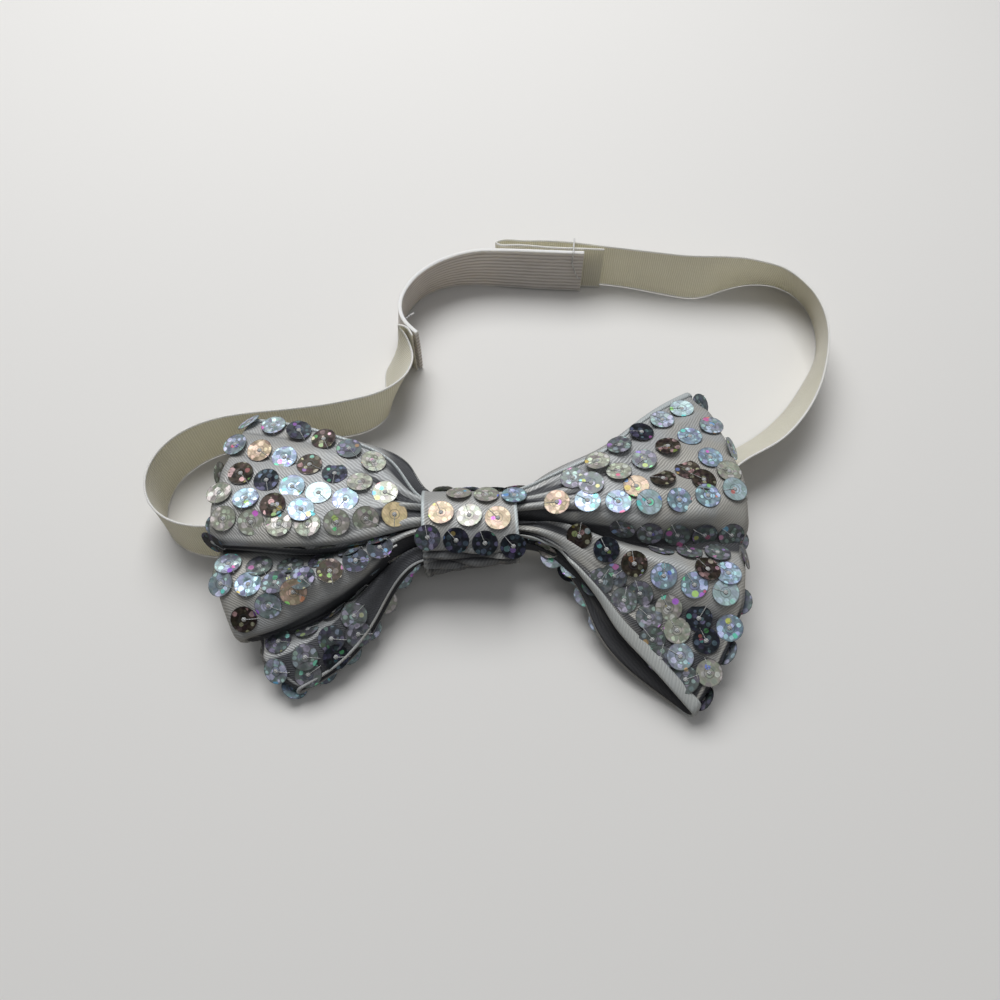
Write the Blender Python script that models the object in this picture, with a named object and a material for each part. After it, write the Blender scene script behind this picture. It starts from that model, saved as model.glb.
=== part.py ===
"""Sequinned bow on a ribbon and elastic head band, lying face up with its band on edge.

Metres in the scene, millimetres in every table below.  +Z is up, the bow's length runs along X,
the band's loop lies towards +Y, and the origin is the middle of the knot's flat back.
"""

import math
from typing import NamedTuple

import bmesh
import bpy
import numpy as np

MM = 0.001
CLEARANCE = 0.3          # gap between pieces that touch on the real bow

# Band: a ribbon round both sides and an elastic behind the head, one width
BAND_WIDTH = 15.0
RIBBON_THICKNESS = 0.5
ELASTIC_THICKNESS = 1.1
THREAD_DIAMETER = 0.5

# Knot: a strip wrapped round the gathered middle, its ends lapped at the back
KNOT_LENGTH = 22.0       # along X
KNOT_DEPTH = 18.2        # along Y
KNOT_Y = 1.0             # its middle lies a little above the bow's
KNOT_TOP = 19.4          # height of the front over the back
KNOT_RADIUS = 7.0        # of the middle line of the wrap at its front turns
BACK_RADIUS = 5.0        # and at its back turns
WRAP_THICKNESS = 1.0
WRAP_LAP = 5.0           # overlap of the strip's two ends
WRAP_END = 4.5           # where its outer end stops on the back, along Y
PINCHED_WIDTH = 7.5      # of the ribbon where the wrap binds it
PINCHED_LEAN = 58.0
PINCHED_GAP = 1.4        # from the bound ribbon to the wrap's far side

# Bow: one length of cloth, folded into a loop each side of the gathered waist
WING_LENGTH = 53.0       # from the knot's side to the outer fold
BOW_HALF_DEPTH = 40.0    # from the middle to the lowest and highest corners
CLOTH = 0.9              # two layers of satin
LOOP_GAP = 3.8           # between the middles of a loop's front and back layers over the band
ROOT_RADIUS = 3.4        # rounded end of the gathered waist
ROOT_DROP = 4.4          # from a wing's front layer to its back layer, at the root
WING_LIFT = 20.0         # degrees that a wing lifts
LIFT_MARGIN = 10.0       # degrees that its root stays clear beyond that
BINDING_DEPTH = 1.3      # how far the thread draws the waist in
BINDING_REACH = 2.6      # half the length of waist that it draws in

# Sequins
SEQUIN_DIAMETER = 6.0
SEQUIN_HOLE = 1.2
SEQUIN_THICKNESS = 0.25
SEQUIN_PITCH = 7.0
SEQUIN_SIDES = 12

# Places that follow from the sizes above
KNOT_HALF = KNOT_LENGTH / 2
TUNNEL_HALF = KNOT_DEPTH / 2 - WRAP_THICKNESS
WAIST_HALF_DEPTH = TUNNEL_HALF - 4 * CLEARANCE - THREAD_DIAMETER
TUNNEL_FLOOR = 2 * WRAP_THICKNESS + CLEARANCE
PINCHED_HEIGHT = (PINCHED_WIDTH * math.cos(math.radians(PINCHED_LEAN))
                  + RIBBON_THICKNESS * math.sin(math.radians(PINCHED_LEAN)))
PINCHED_REACH = (PINCHED_WIDTH * math.sin(math.radians(PINCHED_LEAN))
                 + RIBBON_THICKNESS * math.cos(math.radians(PINCHED_LEAN))) / 2
PINCHED_Y = KNOT_Y + TUNNEL_HALF - PINCHED_REACH - PINCHED_GAP
WAIST_BOTTOM = TUNNEL_FLOOR + 2 * CLEARANCE + PINCHED_HEIGHT
WAIST_TOP = KNOT_TOP - WRAP_THICKNESS - CLEARANCE
ROOT_X = KNOT_HALF - 2.5                        # hinge line of each wing, inside the knot's mouth
ROOT_Z = (WAIST_BOTTOM + WAIST_TOP) / 2
WAIST_EDGE_RADIUS = ROOT_RADIUS + CLOTH / 2 + CLEARANCE
OVER_BAND = BAND_WIDTH + LOOP_GAP + CLOTH / 2   # lowest front height over the standing band
SIDE_X = KNOT_HALF + WING_LENGTH                # the wings' outer ends, which the band bends round
LEFT_JOINT = (-SIDE_X + 16.0, 0.6)              # where the band leaves the bow and may swing
RIGHT_JOINT = (SIDE_X - 22.0, 2.8)
SWING_Y = (LEFT_JOINT[1] + RIGHT_JOINT[1]) / 2  # the swing's axis runs along X between them
CORNER_Y = 0.73 * BOW_HALF_DEPTH                # the left wing's top corner
FAR_Y = CORNER_Y + 2.8                          # the ribbon passes just behind that corner
BACK_Y = FAR_Y + 59.0                           # the far stretch of the band


class Fold(NamedTuple):
    """A fold line of a wing, from the waist to the outer fold.

    x and y are shares of WING_LENGTH and BOW_HALF_DEPTH, waist_y is a share of WAIST_HALF_DEPTH,
    waist_z is measured from ROOT_Z, and a gap is the drop from the front layer to the back one.
    """

    waist_y: float
    waist_z: float
    mid_x: float
    mid_y: float
    mid_z: float
    tip_x: float
    tip_y: float
    tip_z: float
    mid_gap: float
    tip_gap: float
    back_y: float = 0.0      # how far the back layer's middle lies towards +Y of the front's


LEFT_FOLDS = (
    Fold(0.90, 2.0, 0.38, 0.57, OVER_BAND - 1.6, 0.82, 0.73, OVER_BAND - 2.6, 4.6, 3.2),
    Fold(0.55, 2.9, 0.42, 0.29, OVER_BAND + 0.4, 0.90, 0.36, OVER_BAND, 4.2, 3.2),
    Fold(0.18, 2.9, 0.44, -0.01, OVER_BAND + 1.3, 0.93, -0.06, OVER_BAND + 1.0, 4.4, 3.4),
    Fold(-0.12, 2.2, 0.44, -0.13, 12.6, 0.90, -0.20, 12.8, 3.6, 2.8),
    Fold(-0.34, 2.9, 0.44, -0.22, 15.8, 0.91, -0.30, 16.0, 4.0, 3.4),
    Fold(-0.54, 2.4, 0.37, -0.37, 11.4, 0.77, -0.61, 9.2, 4.0, 3.2),
    Fold(-0.68, 1.8, 0.32, -0.38, 8.4, 0.68, -0.63, 5.6, 3.4, 2.6),
    Fold(-0.82, 2.3, 0.30, -0.44, 10.2, 0.62, -0.71, 7.2, 3.8, 3.0),
    Fold(-0.98, 1.6, 0.24, -0.60, 7.6, 0.50, -0.87, 4.4, 3.8, 2.6),
)
RIGHT_FOLDS = (
    Fold(0.90, 2.0, 0.42, 0.51, 17.2, 0.87, 1.00, 13.4, 4.6, 3.2),
    Fold(0.55, 2.9, 0.46, 0.30, OVER_BAND + 0.3, 0.95, 0.50, OVER_BAND, 4.2, 3.2),
    Fold(0.18, 2.9, 0.48, 0.07, OVER_BAND + 1.4, 1.00, 0.11, OVER_BAND + 1.2, 4.4, 3.4),
    Fold(-0.12, 2.2, 0.48, -0.10, 12.8, 0.93, -0.12, 13.0, 3.6, 2.8),
    Fold(-0.34, 2.9, 0.49, -0.20, 16.2, 0.95, -0.34, 15.6, 4.0, 3.4),
    Fold(-0.58, 2.4, 0.47, -0.36, 13.4, 0.92, -0.53, 11.8, 4.0, 3.2, -0.02),
    Fold(-0.80, 2.2, 0.46, -0.50, 13.0, 0.86, -0.78, 10.0, 4.6, 3.2, -0.05),
    Fold(-0.98, 1.6, 0.38, -0.52, 11.2, 0.68, -1.00, 4.6, 5.6, 2.8, -0.10),
)


class Station(NamedTuple):
    """A cross-section of the band: its middle in plan, its lean, its width and its lowest point.

    The lean is in degrees, of the upper edge towards the inside of the loop.
    """

    x: float
    y: float
    lean: float
    width: float = BAND_WIDTH
    lowest: float = 0.0


def pinched(x):
    """The ribbon as the wrap binds it."""
    return Station(x, PINCHED_Y, PINCHED_LEAN, PINCHED_WIDTH, TUNNEL_FLOOR + CLEARANCE)


def under_wing(share):
    """X of a place under a wing: a share of the wing's length out from the knot's side."""
    return KNOT_HALF + share * WING_LENGTH


HALF_GAP = CLEARANCE / 2
RIBBON_MIDDLE = (
    Station(LEFT_JOINT[0] + HALF_GAP, LEFT_JOINT[1], 0.0), Station(-under_wing(0.62), 0.7, 2.0),
    Station(-under_wing(0.51), 1.2, 12.0), Station(-under_wing(0.36), 2.2, 30.0, 13.5, 0.6),
    Station(-under_wing(0.21), 3.4, 46.0, 10.5, 1.8), pinched(-KNOT_HALF - 2), pinched(0),
    pinched(KNOT_HALF + 2), Station(under_wing(0.17), 4.0, 46.0, 10.5, 1.8),
    Station(under_wing(0.30), 3.6, 28.0, 13.5, 0.6), Station(under_wing(0.415), 3.0, 10.0),
    Station(under_wing(0.51), 2.9, 2.0), Station(RIGHT_JOINT[0] - HALF_GAP, RIGHT_JOINT[1], 0.0),
)
RIBBON_LEFT = (
    Station(LEFT_JOINT[0] - HALF_GAP, LEFT_JOINT[1], 0.0), Station(-SIDE_X + 10.0, 0.1, 2.0),
    Station(-SIDE_X + 4.0, -0.5, 3.0), Station(-SIDE_X - 2.0, -0.2, 3.0),
    Station(-SIDE_X - 8.0, 2.0, 3.0), Station(-SIDE_X - 12.8, 7.0, 2.0),
    Station(-SIDE_X - 14.6, 13.6, 0.0), Station(-SIDE_X - 12.5, FAR_Y - 10.0, 0.0),
    Station(-SIDE_X - 6.5, FAR_Y - 4.0, 0.0), Station(-SIDE_X + 2.0, FAR_Y - 0.6, 0.0),
    Station(-SIDE_X + 14.0, FAR_Y + 1.2, 0.0), Station(-38.0, FAR_Y + 3.0, 0.0),
    Station(-31.0, FAR_Y + 4.6, -1.0), Station(-25.6, FAR_Y + 7.2, 5.0),
    Station(-22.2, FAR_Y + 10.8, 14.0), Station(-20.8, FAR_Y + 15.5, 27.0),
    Station(-21.2, FAR_Y + 22.5, 36.0),
    Station(-21.9, FAR_Y + 28.2, 22.0), Station(-21.2, FAR_Y + 30.4, 4.0),
    Station(-19.8, FAR_Y + 30.0, 0.0), Station(-16.8, FAR_Y + 26.4, 0.0),
)
ELASTIC = (
    Station(31.6, BACK_Y - 0.6, 0.0), Station(20.0, BACK_Y, 0.0), Station(8.0, BACK_Y + 0.8, 2.0),
    Station(0.0, BACK_Y + 1.0, 5.0), Station(-8.0, BACK_Y - 0.4, 12.0),
    Station(-15.0, BACK_Y - 4.4, 15.0), Station(-20.0, BACK_Y - 11.5, 12.0),
    Station(-21.8, BACK_Y - 20.0, 7.0), Station(-19.8, BACK_Y - 26.8, 2.0),
    Station(-15.6, FAR_Y + 27.4, 0.0),
)
RIBBON_RIGHT = (
    Station(37.6, BACK_Y + 0.6, 0.0), Station(31.0, BACK_Y + 1.0, 0.0),
    Station(20.0, BACK_Y + 1.7, 0.0), Station(10.0, BACK_Y + 2.5, 0.0),
    Station(6.4, BACK_Y + 2.9, 0.0), Station(5.7, BACK_Y + 3.6, 0.0),
    Station(6.6, BACK_Y + 4.3, 0.0), Station(12.0, BACK_Y + 4.6, 0.0),
    Station(20.0, BACK_Y + 4.4, 0.0), Station(30.0, BACK_Y + 3.4, 0.0),
    Station(38.0, BACK_Y + 2.0, 0.0), Station(46.0, BACK_Y + 0.6, 0.0),
    Station(SIDE_X - 6.0, BACK_Y - 2.0, -5.0), Station(SIDE_X + 3.0, BACK_Y - 3.0, -8.0),
    Station(SIDE_X + 12.0, BACK_Y - 1.6, 7.0), Station(SIDE_X + 21.5, BACK_Y - 1.0, 22.0),
    Station(SIDE_X + 28.0, BACK_Y - 2.8, 27.0), Station(SIDE_X + 32.4, BACK_Y - 8.2, 26.0),
    Station(SIDE_X + 34.6, BACK_Y - 17.0, 18.0), Station(SIDE_X + 33.8, BACK_Y - 28.0, 7.0),
    Station(SIDE_X + 29.8, BACK_Y - 38.5, -7.0), Station(SIDE_X + 24.6, BACK_Y - 48.0, -19.0),
    Station(SIDE_X + 18.0, BACK_Y - 56.2, -29.0), Station(SIDE_X + 10.8, FAR_Y - 3.2, -35.0),
    Station(SIDE_X + 1.6, 23.0, -34.0), Station(SIDE_X - 4.4, 16.0, -25.0),
    Station(SIDE_X - 10.0, 9.4, -15.0), Station(SIDE_X - 16.0, 4.6, -5.0),
    Station(RIGHT_JOINT[0] + HALF_GAP, RIGHT_JOINT[1], 0.0),
)


# ---------------------------------------------------------------------------------------------
# Curves
# ---------------------------------------------------------------------------------------------

def natural_spline(knots, values, wanted):
    """Natural cubic spline through values (n, d) at knots, read at the wanted parameters."""
    knots = np.asarray(knots, float)
    values = np.asarray(values, float)
    wanted = np.asarray(wanted, float)
    count = len(knots)
    step = np.diff(knots)
    matrix = np.eye(count)
    right = np.zeros_like(values)
    for i in range(1, count - 1):
        matrix[i, i - 1:i + 2] = step[i - 1], 2 * (step[i - 1] + step[i]), step[i]
        slope_after = (values[i + 1] - values[i]) / step[i]
        slope_before = (values[i] - values[i - 1]) / step[i - 1]
        right[i] = 6 * (slope_after - slope_before)
    bend = np.linalg.solve(matrix, right)
    span = np.clip(np.searchsorted(knots, wanted, side="right") - 1, 0, count - 2)
    width = step[span][:, None]
    before = (knots[span + 1] - wanted)[:, None]
    after = (wanted - knots[span])[:, None]
    curve = (bend[span] * before ** 3 + bend[span + 1] * after ** 3) / (6 * width)
    line = (values[span] / width - bend[span] * width / 6) * before
    return curve + line + (values[span + 1] / width - bend[span + 1] * width / 6) * after


def chord_knots(points):
    """Parameters that grow with the distance between neighbouring points."""
    lengths = np.linalg.norm(np.diff(np.asarray(points, float), axis=0), axis=1)
    return np.concatenate([[0.0], np.cumsum(lengths)])


def level_spline(knots, values, wanted):
    """Cubic through values (n, d) at knots that never swings past them, read at wanted."""
    knots = np.asarray(knots, float)
    values = np.asarray(values, float)
    wanted = np.asarray(wanted, float)
    step = np.diff(knots)[:, None]
    slope = np.diff(values, axis=0) / step
    tangent = np.zeros_like(values)
    tangent[0], tangent[-1] = slope[0], slope[-1]
    same_way = slope[:-1] * slope[1:] > 0
    before, after = 2 * step[1:] + step[:-1], step[1:] + 2 * step[:-1]
    safe_before = np.where(same_way, slope[:-1], 1.0)
    safe_after = np.where(same_way, slope[1:], 1.0)
    mean = (before + after) / (before / safe_before + after / safe_after)
    tangent[1:-1] = np.where(same_way, mean, 0.0)
    span = np.clip(np.searchsorted(knots, wanted, side="right") - 1, 0, len(knots) - 2)
    width = step[span]
    share = (wanted - knots[span])[:, None] / width
    start = values[span] + share * width * tangent[span]
    rise = values[span + 1] - values[span]
    square = share ** 2 * (3 * rise - width * (2 * tangent[span] + tangent[span + 1]))
    return start + square + share ** 3 * (width * (tangent[span] + tangent[span + 1]) - 2 * rise)


def rounded_outline(corners, arc_steps=5):
    """Points of an open line through (y, z, radius) corners, each turned by an arc."""
    points = [np.array(corners[0][:2])]
    for before, here, after in zip(corners, corners[1:], corners[2:]):
        corner = np.array(here[:2])
        way_in = np.array(before[:2]) - corner
        way_out = np.array(after[:2]) - corner
        way_in /= np.linalg.norm(way_in)
        way_out /= np.linalg.norm(way_out)
        half = math.acos(np.clip(np.dot(way_in, way_out), -1, 1)) / 2
        middle = (way_in + way_out) / np.linalg.norm(way_in + way_out)
        centre = corner + middle * here[2] / math.sin(half)
        first = corner + way_in * here[2] / math.tan(half) - centre
        last = corner + way_out * here[2] / math.tan(half) - centre
        turn = math.pi - 2 * half
        for step in range(arc_steps + 1):
            share = step / arc_steps
            blend = (math.sin((1 - share) * turn) * first + math.sin(share * turn) * last)
            points.append(centre + blend / math.sin(turn))
    points.append(np.array(corners[-1][:2]))
    return np.array(points)


# ---------------------------------------------------------------------------------------------
# Building blocks
# ---------------------------------------------------------------------------------------------

def make_material(name, colour, roughness, metallic=0.0):
    """A plain Principled material."""
    material = bpy.data.materials.new(name)
    material.use_nodes = True
    shader = material.node_tree.nodes["Principled BSDF"]
    shader.inputs["Base Color"].default_value = (*colour, 1.0)
    shader.inputs["Roughness"].default_value = roughness
    shader.inputs["Metallic"].default_value = metallic
    return material


def make_object(name, vertices, faces, material, place=(0.0, 0.0, 0.0), parent=None):
    """A mesh object from world millimetres, its origin at place and its faces pointing out."""
    origin = np.asarray(place, float)
    mesh = bpy.data.meshes.new(name)
    mesh.from_pydata([tuple((np.asarray(v) - origin) * MM) for v in vertices], [], faces)
    shape = bmesh.new()
    shape.from_mesh(mesh)
    bmesh.ops.recalc_face_normals(shape, faces=shape.faces)
    shape.to_mesh(mesh)
    shape.free()
    mesh.materials.append(material)
    mesh.shade_smooth()
    mesh.set_sharp_from_angle(angle=math.radians(40))
    thing = bpy.data.objects.new(name, mesh)
    bpy.context.collection.objects.link(thing)
    thing.parent = parent
    thing.location = origin * MM
    if parent is not None:
        thing.location = origin * MM - np.array(parent.location)
    return thing


def make_pivot(name, place):
    """An empty on a joint's axis."""
    pivot = bpy.data.objects.new(name, None)
    bpy.context.collection.objects.link(pivot)
    pivot.location = np.asarray(place) * MM
    return pivot


def loft(rings):
    """Vertices and faces of a closed solid through rings of equal length, capped at both ends."""
    size = len(rings[0])
    vertices = [tuple(point) for ring in rings for point in ring]
    faces = []
    for row in range(len(rings) - 1):
        for i in range(size):
            j = (i + 1) % size
            a = row * size
            b = a + size
            faces.append((a + i, a + j, b + j, b + i))
    faces.append(tuple(range(size)))
    faces.append(tuple(reversed(range(len(vertices) - size, len(vertices)))))
    return vertices, faces


def make_thread(name, points, material, diameter=THREAD_DIAMETER, parent=None):
    """A round thread through points, as a bevelled curve with filled caps."""
    curve = bpy.data.curves.new(name, "CURVE")
    curve.dimensions = "3D"
    curve.bevel_depth = diameter / 2 * MM
    curve.bevel_resolution = 2
    curve.use_fill_caps = True
    spline = curve.splines.new("POLY")
    origin = np.zeros(3) if parent is None else np.array(parent.location) / MM
    spline.points.add(len(points) - 1)
    for knot, point in zip(spline.points, points):
        knot.co = (*((np.asarray(point) - origin) * MM), 1.0)
    curve.materials.append(material)
    thing = bpy.data.objects.new(name, curve)
    bpy.context.collection.objects.link(thing)
    thing.parent = parent
    return thing


# ---------------------------------------------------------------------------------------------
# Wings
# ---------------------------------------------------------------------------------------------

class Wing:
    """One loop of the bow's band: a front layer, an outer fold and a back layer."""

    def __init__(self, side, folds):
        self.side = side
        self.chains = [self.chain(fold) for fold in folds]

    def chain(self, fold):
        """Waist, middle and tip of the front layer, the same of the back layer, and the gap."""
        root_y = KNOT_Y + fold.waist_y * WAIST_HALF_DEPTH
        back_z = fold.waist_z - ROOT_DROP
        mid_x = KNOT_HALF + fold.mid_x * WING_LENGTH
        tip_x = KNOT_HALF + fold.tip_x * WING_LENGTH - fold.tip_gap / 2
        mid_y = fold.mid_y * BOW_HALF_DEPTH
        tip_y = fold.tip_y * BOW_HALF_DEPTH
        back_y = mid_y + fold.back_y * BOW_HALF_DEPTH
        front = np.array([
            (self.waist_x(fold.waist_z), root_y, ROOT_Z + fold.waist_z),
            (mid_x, mid_y, fold.mid_z),
            (tip_x, tip_y, fold.tip_z)])
        back = np.array([
            (self.waist_x(back_z), root_y, ROOT_Z + back_z),
            (mid_x, back_y, fold.mid_z - fold.mid_gap),
            (tip_x, tip_y, fold.tip_z - fold.tip_gap)])
        return front, back, fold.tip_gap

    def chain_points(self, chain, along):
        """Points of one fold line: 0 to 2 on the front, to 4 round the fold, to 6 on the back."""
        front, back, gap = chain
        points = []
        for place in along:
            if 2 <= place <= 4:
                turn = (place - 2) * math.pi / 2
                out = (gap / 2 * math.sin(turn), 0.0, gap / 2 * (math.cos(turn) - 1))
                points.append(front[2] + out)
                continue
            layer, index = (front, place) if place < 2 else (back, 6 - place)
            knots = chord_knots(layer)
            points.append(natural_spline(knots, layer, [np.interp(index, range(3), knots)])[0])
        return np.array(points) * np.array([self.side, 1.0, 1.0])

    @staticmethod
    def waist_x(height):
        """Where the cloth starts, on a round about the hinge line that the root turns in."""
        clear = ROOT_X + WAIST_EDGE_RADIUS * math.sin(math.radians(WING_LIFT + LIFT_MARGIN))
        return max(clear, ROOT_X + math.sqrt(WAIST_EDGE_RADIUS ** 2 - height ** 2))

    def grid(self, along, across):
        """Points (len(along), len(across), 3) at fractional chain and fold indices."""
        lines = np.array([self.chain_points(chain, along) for chain in self.chains])
        rows = []
        for points in lines.transpose(1, 0, 2):
            knots = chord_knots(points)
            rows.append(level_spline(knots, points, np.interp(across, range(len(points)), knots)))
        return np.array(rows)

    def frame(self, along, across):
        """Point and upward unit normal of the cloth."""
        step = 0.02
        patch = self.grid([along - step, along, along + step], [across - step, across, across + step])
        normal = np.cross(patch[2, 1] - patch[0, 1], patch[1, 2] - patch[1, 0])
        normal /= np.linalg.norm(normal)
        return patch[1, 1], normal * (1 if normal[2] > 0 else -1)

    def row(self, across, first, count):
        """Chain indices of count places, SEQUIN_PITCH apart along the cloth."""
        fine = np.linspace(0.0, 2.4, 241)
        line = self.grid(fine, [across])[:, 0]
        length = chord_knots(line)
        return np.interp(first + SEQUIN_PITCH * np.arange(count), length, fine)


def build_wing(name, wing, material, pivot):
    """The loop as one open sheet of cloth, thickened."""
    along = np.concatenate([np.linspace(0, 2, 9), np.linspace(2, 4, 5)[1:], np.linspace(4, 6, 9)[1:]])
    across = np.linspace(0, len(wing.chains) - 1, 3 * (len(wing.chains) - 1) + 1)
    grid = wing.grid(along, across)
    rows, columns = grid.shape[:2]
    faces = []
    for i in range(rows - 1):
        for j in range(columns - 1):
            corner = i * columns + j
            faces.append((corner, corner + 1, corner + columns + 1, corner + columns))
    thing = make_object(name, grid.reshape(-1, 3), faces, material, np.array(pivot.location) / MM, pivot)
    cloth = thing.modifiers.new("cloth", "SOLIDIFY")
    cloth.thickness = CLOTH * MM
    cloth.offset = 0.0
    return thing


# ---------------------------------------------------------------------------------------------
# Knot
# ---------------------------------------------------------------------------------------------

def wrap_line():
    """Middle line of the wrapped strip in the YZ plane, from its inner end to its outer end."""
    far = KNOT_Y + TUNNEL_HALF + WRAP_THICKNESS / 2
    near = KNOT_Y - TUNNEL_HALF - WRAP_THICKNESS / 2
    outer = WRAP_THICKNESS / 2
    inner = outer + WRAP_THICKNESS + CLEARANCE
    top = KNOT_TOP - WRAP_THICKNESS / 2
    return rounded_outline([
        (WRAP_END - WRAP_LAP, inner, 0), (far, inner, BACK_RADIUS), (far, top, KNOT_RADIUS),
        (near, top, KNOT_RADIUS), (near, outer, BACK_RADIUS), (WRAP_END, outer, 0)], 8)


def line_normals(line):
    """Unit normals on the left of an open line in a plane."""
    tangent = np.gradient(line, axis=0)
    tangent /= np.linalg.norm(tangent, axis=1)[:, None]
    return np.stack([-tangent[:, 1], tangent[:, 0]], axis=1)


def build_knot_wrap(material):
    """The strip round the waist and the ribbon."""
    line = wrap_line()
    half = line_normals(line) * WRAP_THICKNESS / 2
    rings = []
    for inner, outer in zip(line + half, line - half):
        rings.append([(-KNOT_HALF, *inner), (-KNOT_HALF, *outer), (KNOT_HALF, *outer), (KNOT_HALF, *inner)])
    vertices, faces = loft(rings)
    return make_object("knot_wrap", vertices, faces, material)


def waist_half_height(x):
    """Half the height of the gathered cloth: full in the knot, bound at x = 0, round at the ends."""
    beyond = abs(x) - ROOT_X
    full = (WAIST_TOP - WAIST_BOTTOM) / 2
    if beyond > 0:
        return math.sqrt(max(ROOT_RADIUS ** 2 - beyond ** 2, 0.0))
    inside = full - (full - ROOT_RADIUS) * np.clip(1 + beyond / 2.0, 0, 1)
    return inside - BINDING_DEPTH * math.exp(-(x / BINDING_REACH) ** 4)


def build_waist(material):
    """The cloth's middle, gathered into pleats inside the knot, with a rounded root each side."""
    pleats = 5
    ripple_share = 0.06
    side_share = 0.5
    near = np.linspace(0, ROOT_X, 9)
    far = ROOT_X + 0.94 * ROOT_RADIUS * np.sin(np.linspace(0, math.pi / 2, 6))[1:]
    half = np.concatenate([near, far])
    stations = np.concatenate([-half[::-1][:-1], half])
    across = np.linspace(-1, 1, 4 * pleats + 1)
    rings = []
    for x in stations:
        height = waist_half_height(x)
        ripple = ripple_share * height * (1 - np.cos(across * math.pi * pleats)) * (1 - across ** 2)
        shell = height * (1 - side_share * across ** 4)
        y = KNOT_Y + across * WAIST_HALF_DEPTH
        upper = [(x, b, ROOT_Z + h - r) for b, h, r in zip(y, shell, ripple)]
        lower = [(x, b, ROOT_Z - h + r) for b, h, r in zip(y, shell, ripple)]
        rings.append(upper + lower[::-1])
    vertices, faces = loft(rings)
    return make_object("waist_pleats", vertices, faces, material)


def build_gather_thread(material):
    """Three turns of thread that bind the waist, under the wrap."""
    turns = 3
    pitch = THREAD_DIAMETER + CLEARANCE
    gap = THREAD_DIAMETER / 2 + CLEARANCE
    points = []
    for angle in np.linspace(0, 2 * math.pi * turns, 24 * turns + 1):
        x = pitch * (angle / (2 * math.pi) - turns / 2)
        height = waist_half_height(x) + gap
        depth = WAIST_HALF_DEPTH + gap
        reach = (abs(math.cos(angle)) ** 3 + abs(math.sin(angle)) ** 3) ** (-1 / 3)
        y = KNOT_Y + depth * reach * math.cos(angle)
        points.append((x, y, ROOT_Z + height * reach * math.sin(angle)))
    return make_thread("gather_thread", points, material)


def build_wrap_stitch(material):
    """Whip stitches in the step where the wrap's outer end stops, on the knot's back."""
    edge = WRAP_END + CLEARANCE + THREAD_DIAMETER / 2
    height = (WRAP_THICKNESS + CLEARANCE) / 2
    reach = KNOT_HALF - 1.5
    points = []
    for i, x in enumerate(np.linspace(-reach, reach, 13)):
        points.append((x, edge + (0.0 if i % 2 == 0 else 1.1), height))
    return make_thread("wrap_stitch", points, material)


# ---------------------------------------------------------------------------------------------
# Band
# ---------------------------------------------------------------------------------------------

class Strip:
    """A strip of ribbon or elastic that stands on its edge, leans or lies flat."""

    def __init__(self, stations, thickness, inside):
        self.stations = np.array(stations)
        self.thickness = thickness
        self.inside = inside            # +1 where the loop's inside is on the left of travel

    def sections(self, step=2.2):
        """Middle point, half the width as a vector and face normal at each section."""
        knots = chord_knots(self.stations[:, :2])
        wanted = [0.0]
        for start, end in zip(knots, knots[1:]):
            parts = max(2, math.ceil((end - start) / step))
            wanted.extend(np.linspace(start, end, parts + 1)[1:])
        plan = natural_spline(knots, self.stations[:, :2], wanted)
        lean, width, lowest = level_spline(knots, self.stations[:, 2:], wanted).T
        tangent = np.gradient(plan, wanted, axis=0)
        tangent /= np.linalg.norm(tangent, axis=1)[:, None]
        inward = np.stack([-tangent[:, 1], tangent[:, 0]], axis=1) * self.inside
        lean = np.radians(lean)
        sine, cosine = np.sin(lean), np.cos(lean)
        across = np.column_stack([inward * sine[:, None], cosine])
        face = np.column_stack([inward * cosine[:, None], -sine])
        rise = lowest + (width * np.abs(cosine) + self.thickness * np.abs(sine)) / 2
        return np.column_stack([plan, rise]), across * width[:, None] / 2, face

    def solid(self):
        """Vertices and faces of the strip."""
        middle, wide, face = self.sections()
        thick = face * self.thickness / 2
        rings = np.stack([middle - wide - thick, middle - wide + thick,
                          middle + wide + thick, middle + wide - thick], axis=1)
        return loft(rings)


def build_strip(name, strip, material, pivot=None):
    """One stretch of the band."""
    vertices, faces = strip.solid()
    place = (0.0, 0.0, 0.0) if pivot is None else np.array(pivot.location) / MM
    return make_object(name, vertices, faces, material, place, pivot)


def build_left_seam_thread(material, pivot):
    """Zigzag stitches down the seam of elastic and ribbon, with a loose tail at the top."""
    off = ELASTIC_THICKNESS / 2 + CLEARANCE + THREAD_DIAMETER / 2
    middle, _, face = Strip(ELASTIC, ELASTIC_THICKNESS, 1).sections()
    seam = int(np.argmin(np.linalg.norm(middle[:, :2] - np.array(ELASTIC[-2][:2]), axis=1)))
    base = middle[seam] + face[seam] * off
    along = middle[seam + 1] - middle[seam]
    along /= np.linalg.norm(along)
    points = []
    for i, z in enumerate(np.linspace(1.2, BAND_WIDTH - 1.0, 11)):
        points.append((*(base + along * (0.5 if i % 2 else -0.5))[:2], z))
    tail = base + face[seam] * 1.6
    points.append((*tail[:2], BAND_WIDTH + 0.2))
    points.append((*(tail + face[seam] * 1.2 - along * 0.8)[:2], BAND_WIDTH - 0.6))
    return make_thread("left_seam_thread", points, material, parent=pivot)


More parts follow.
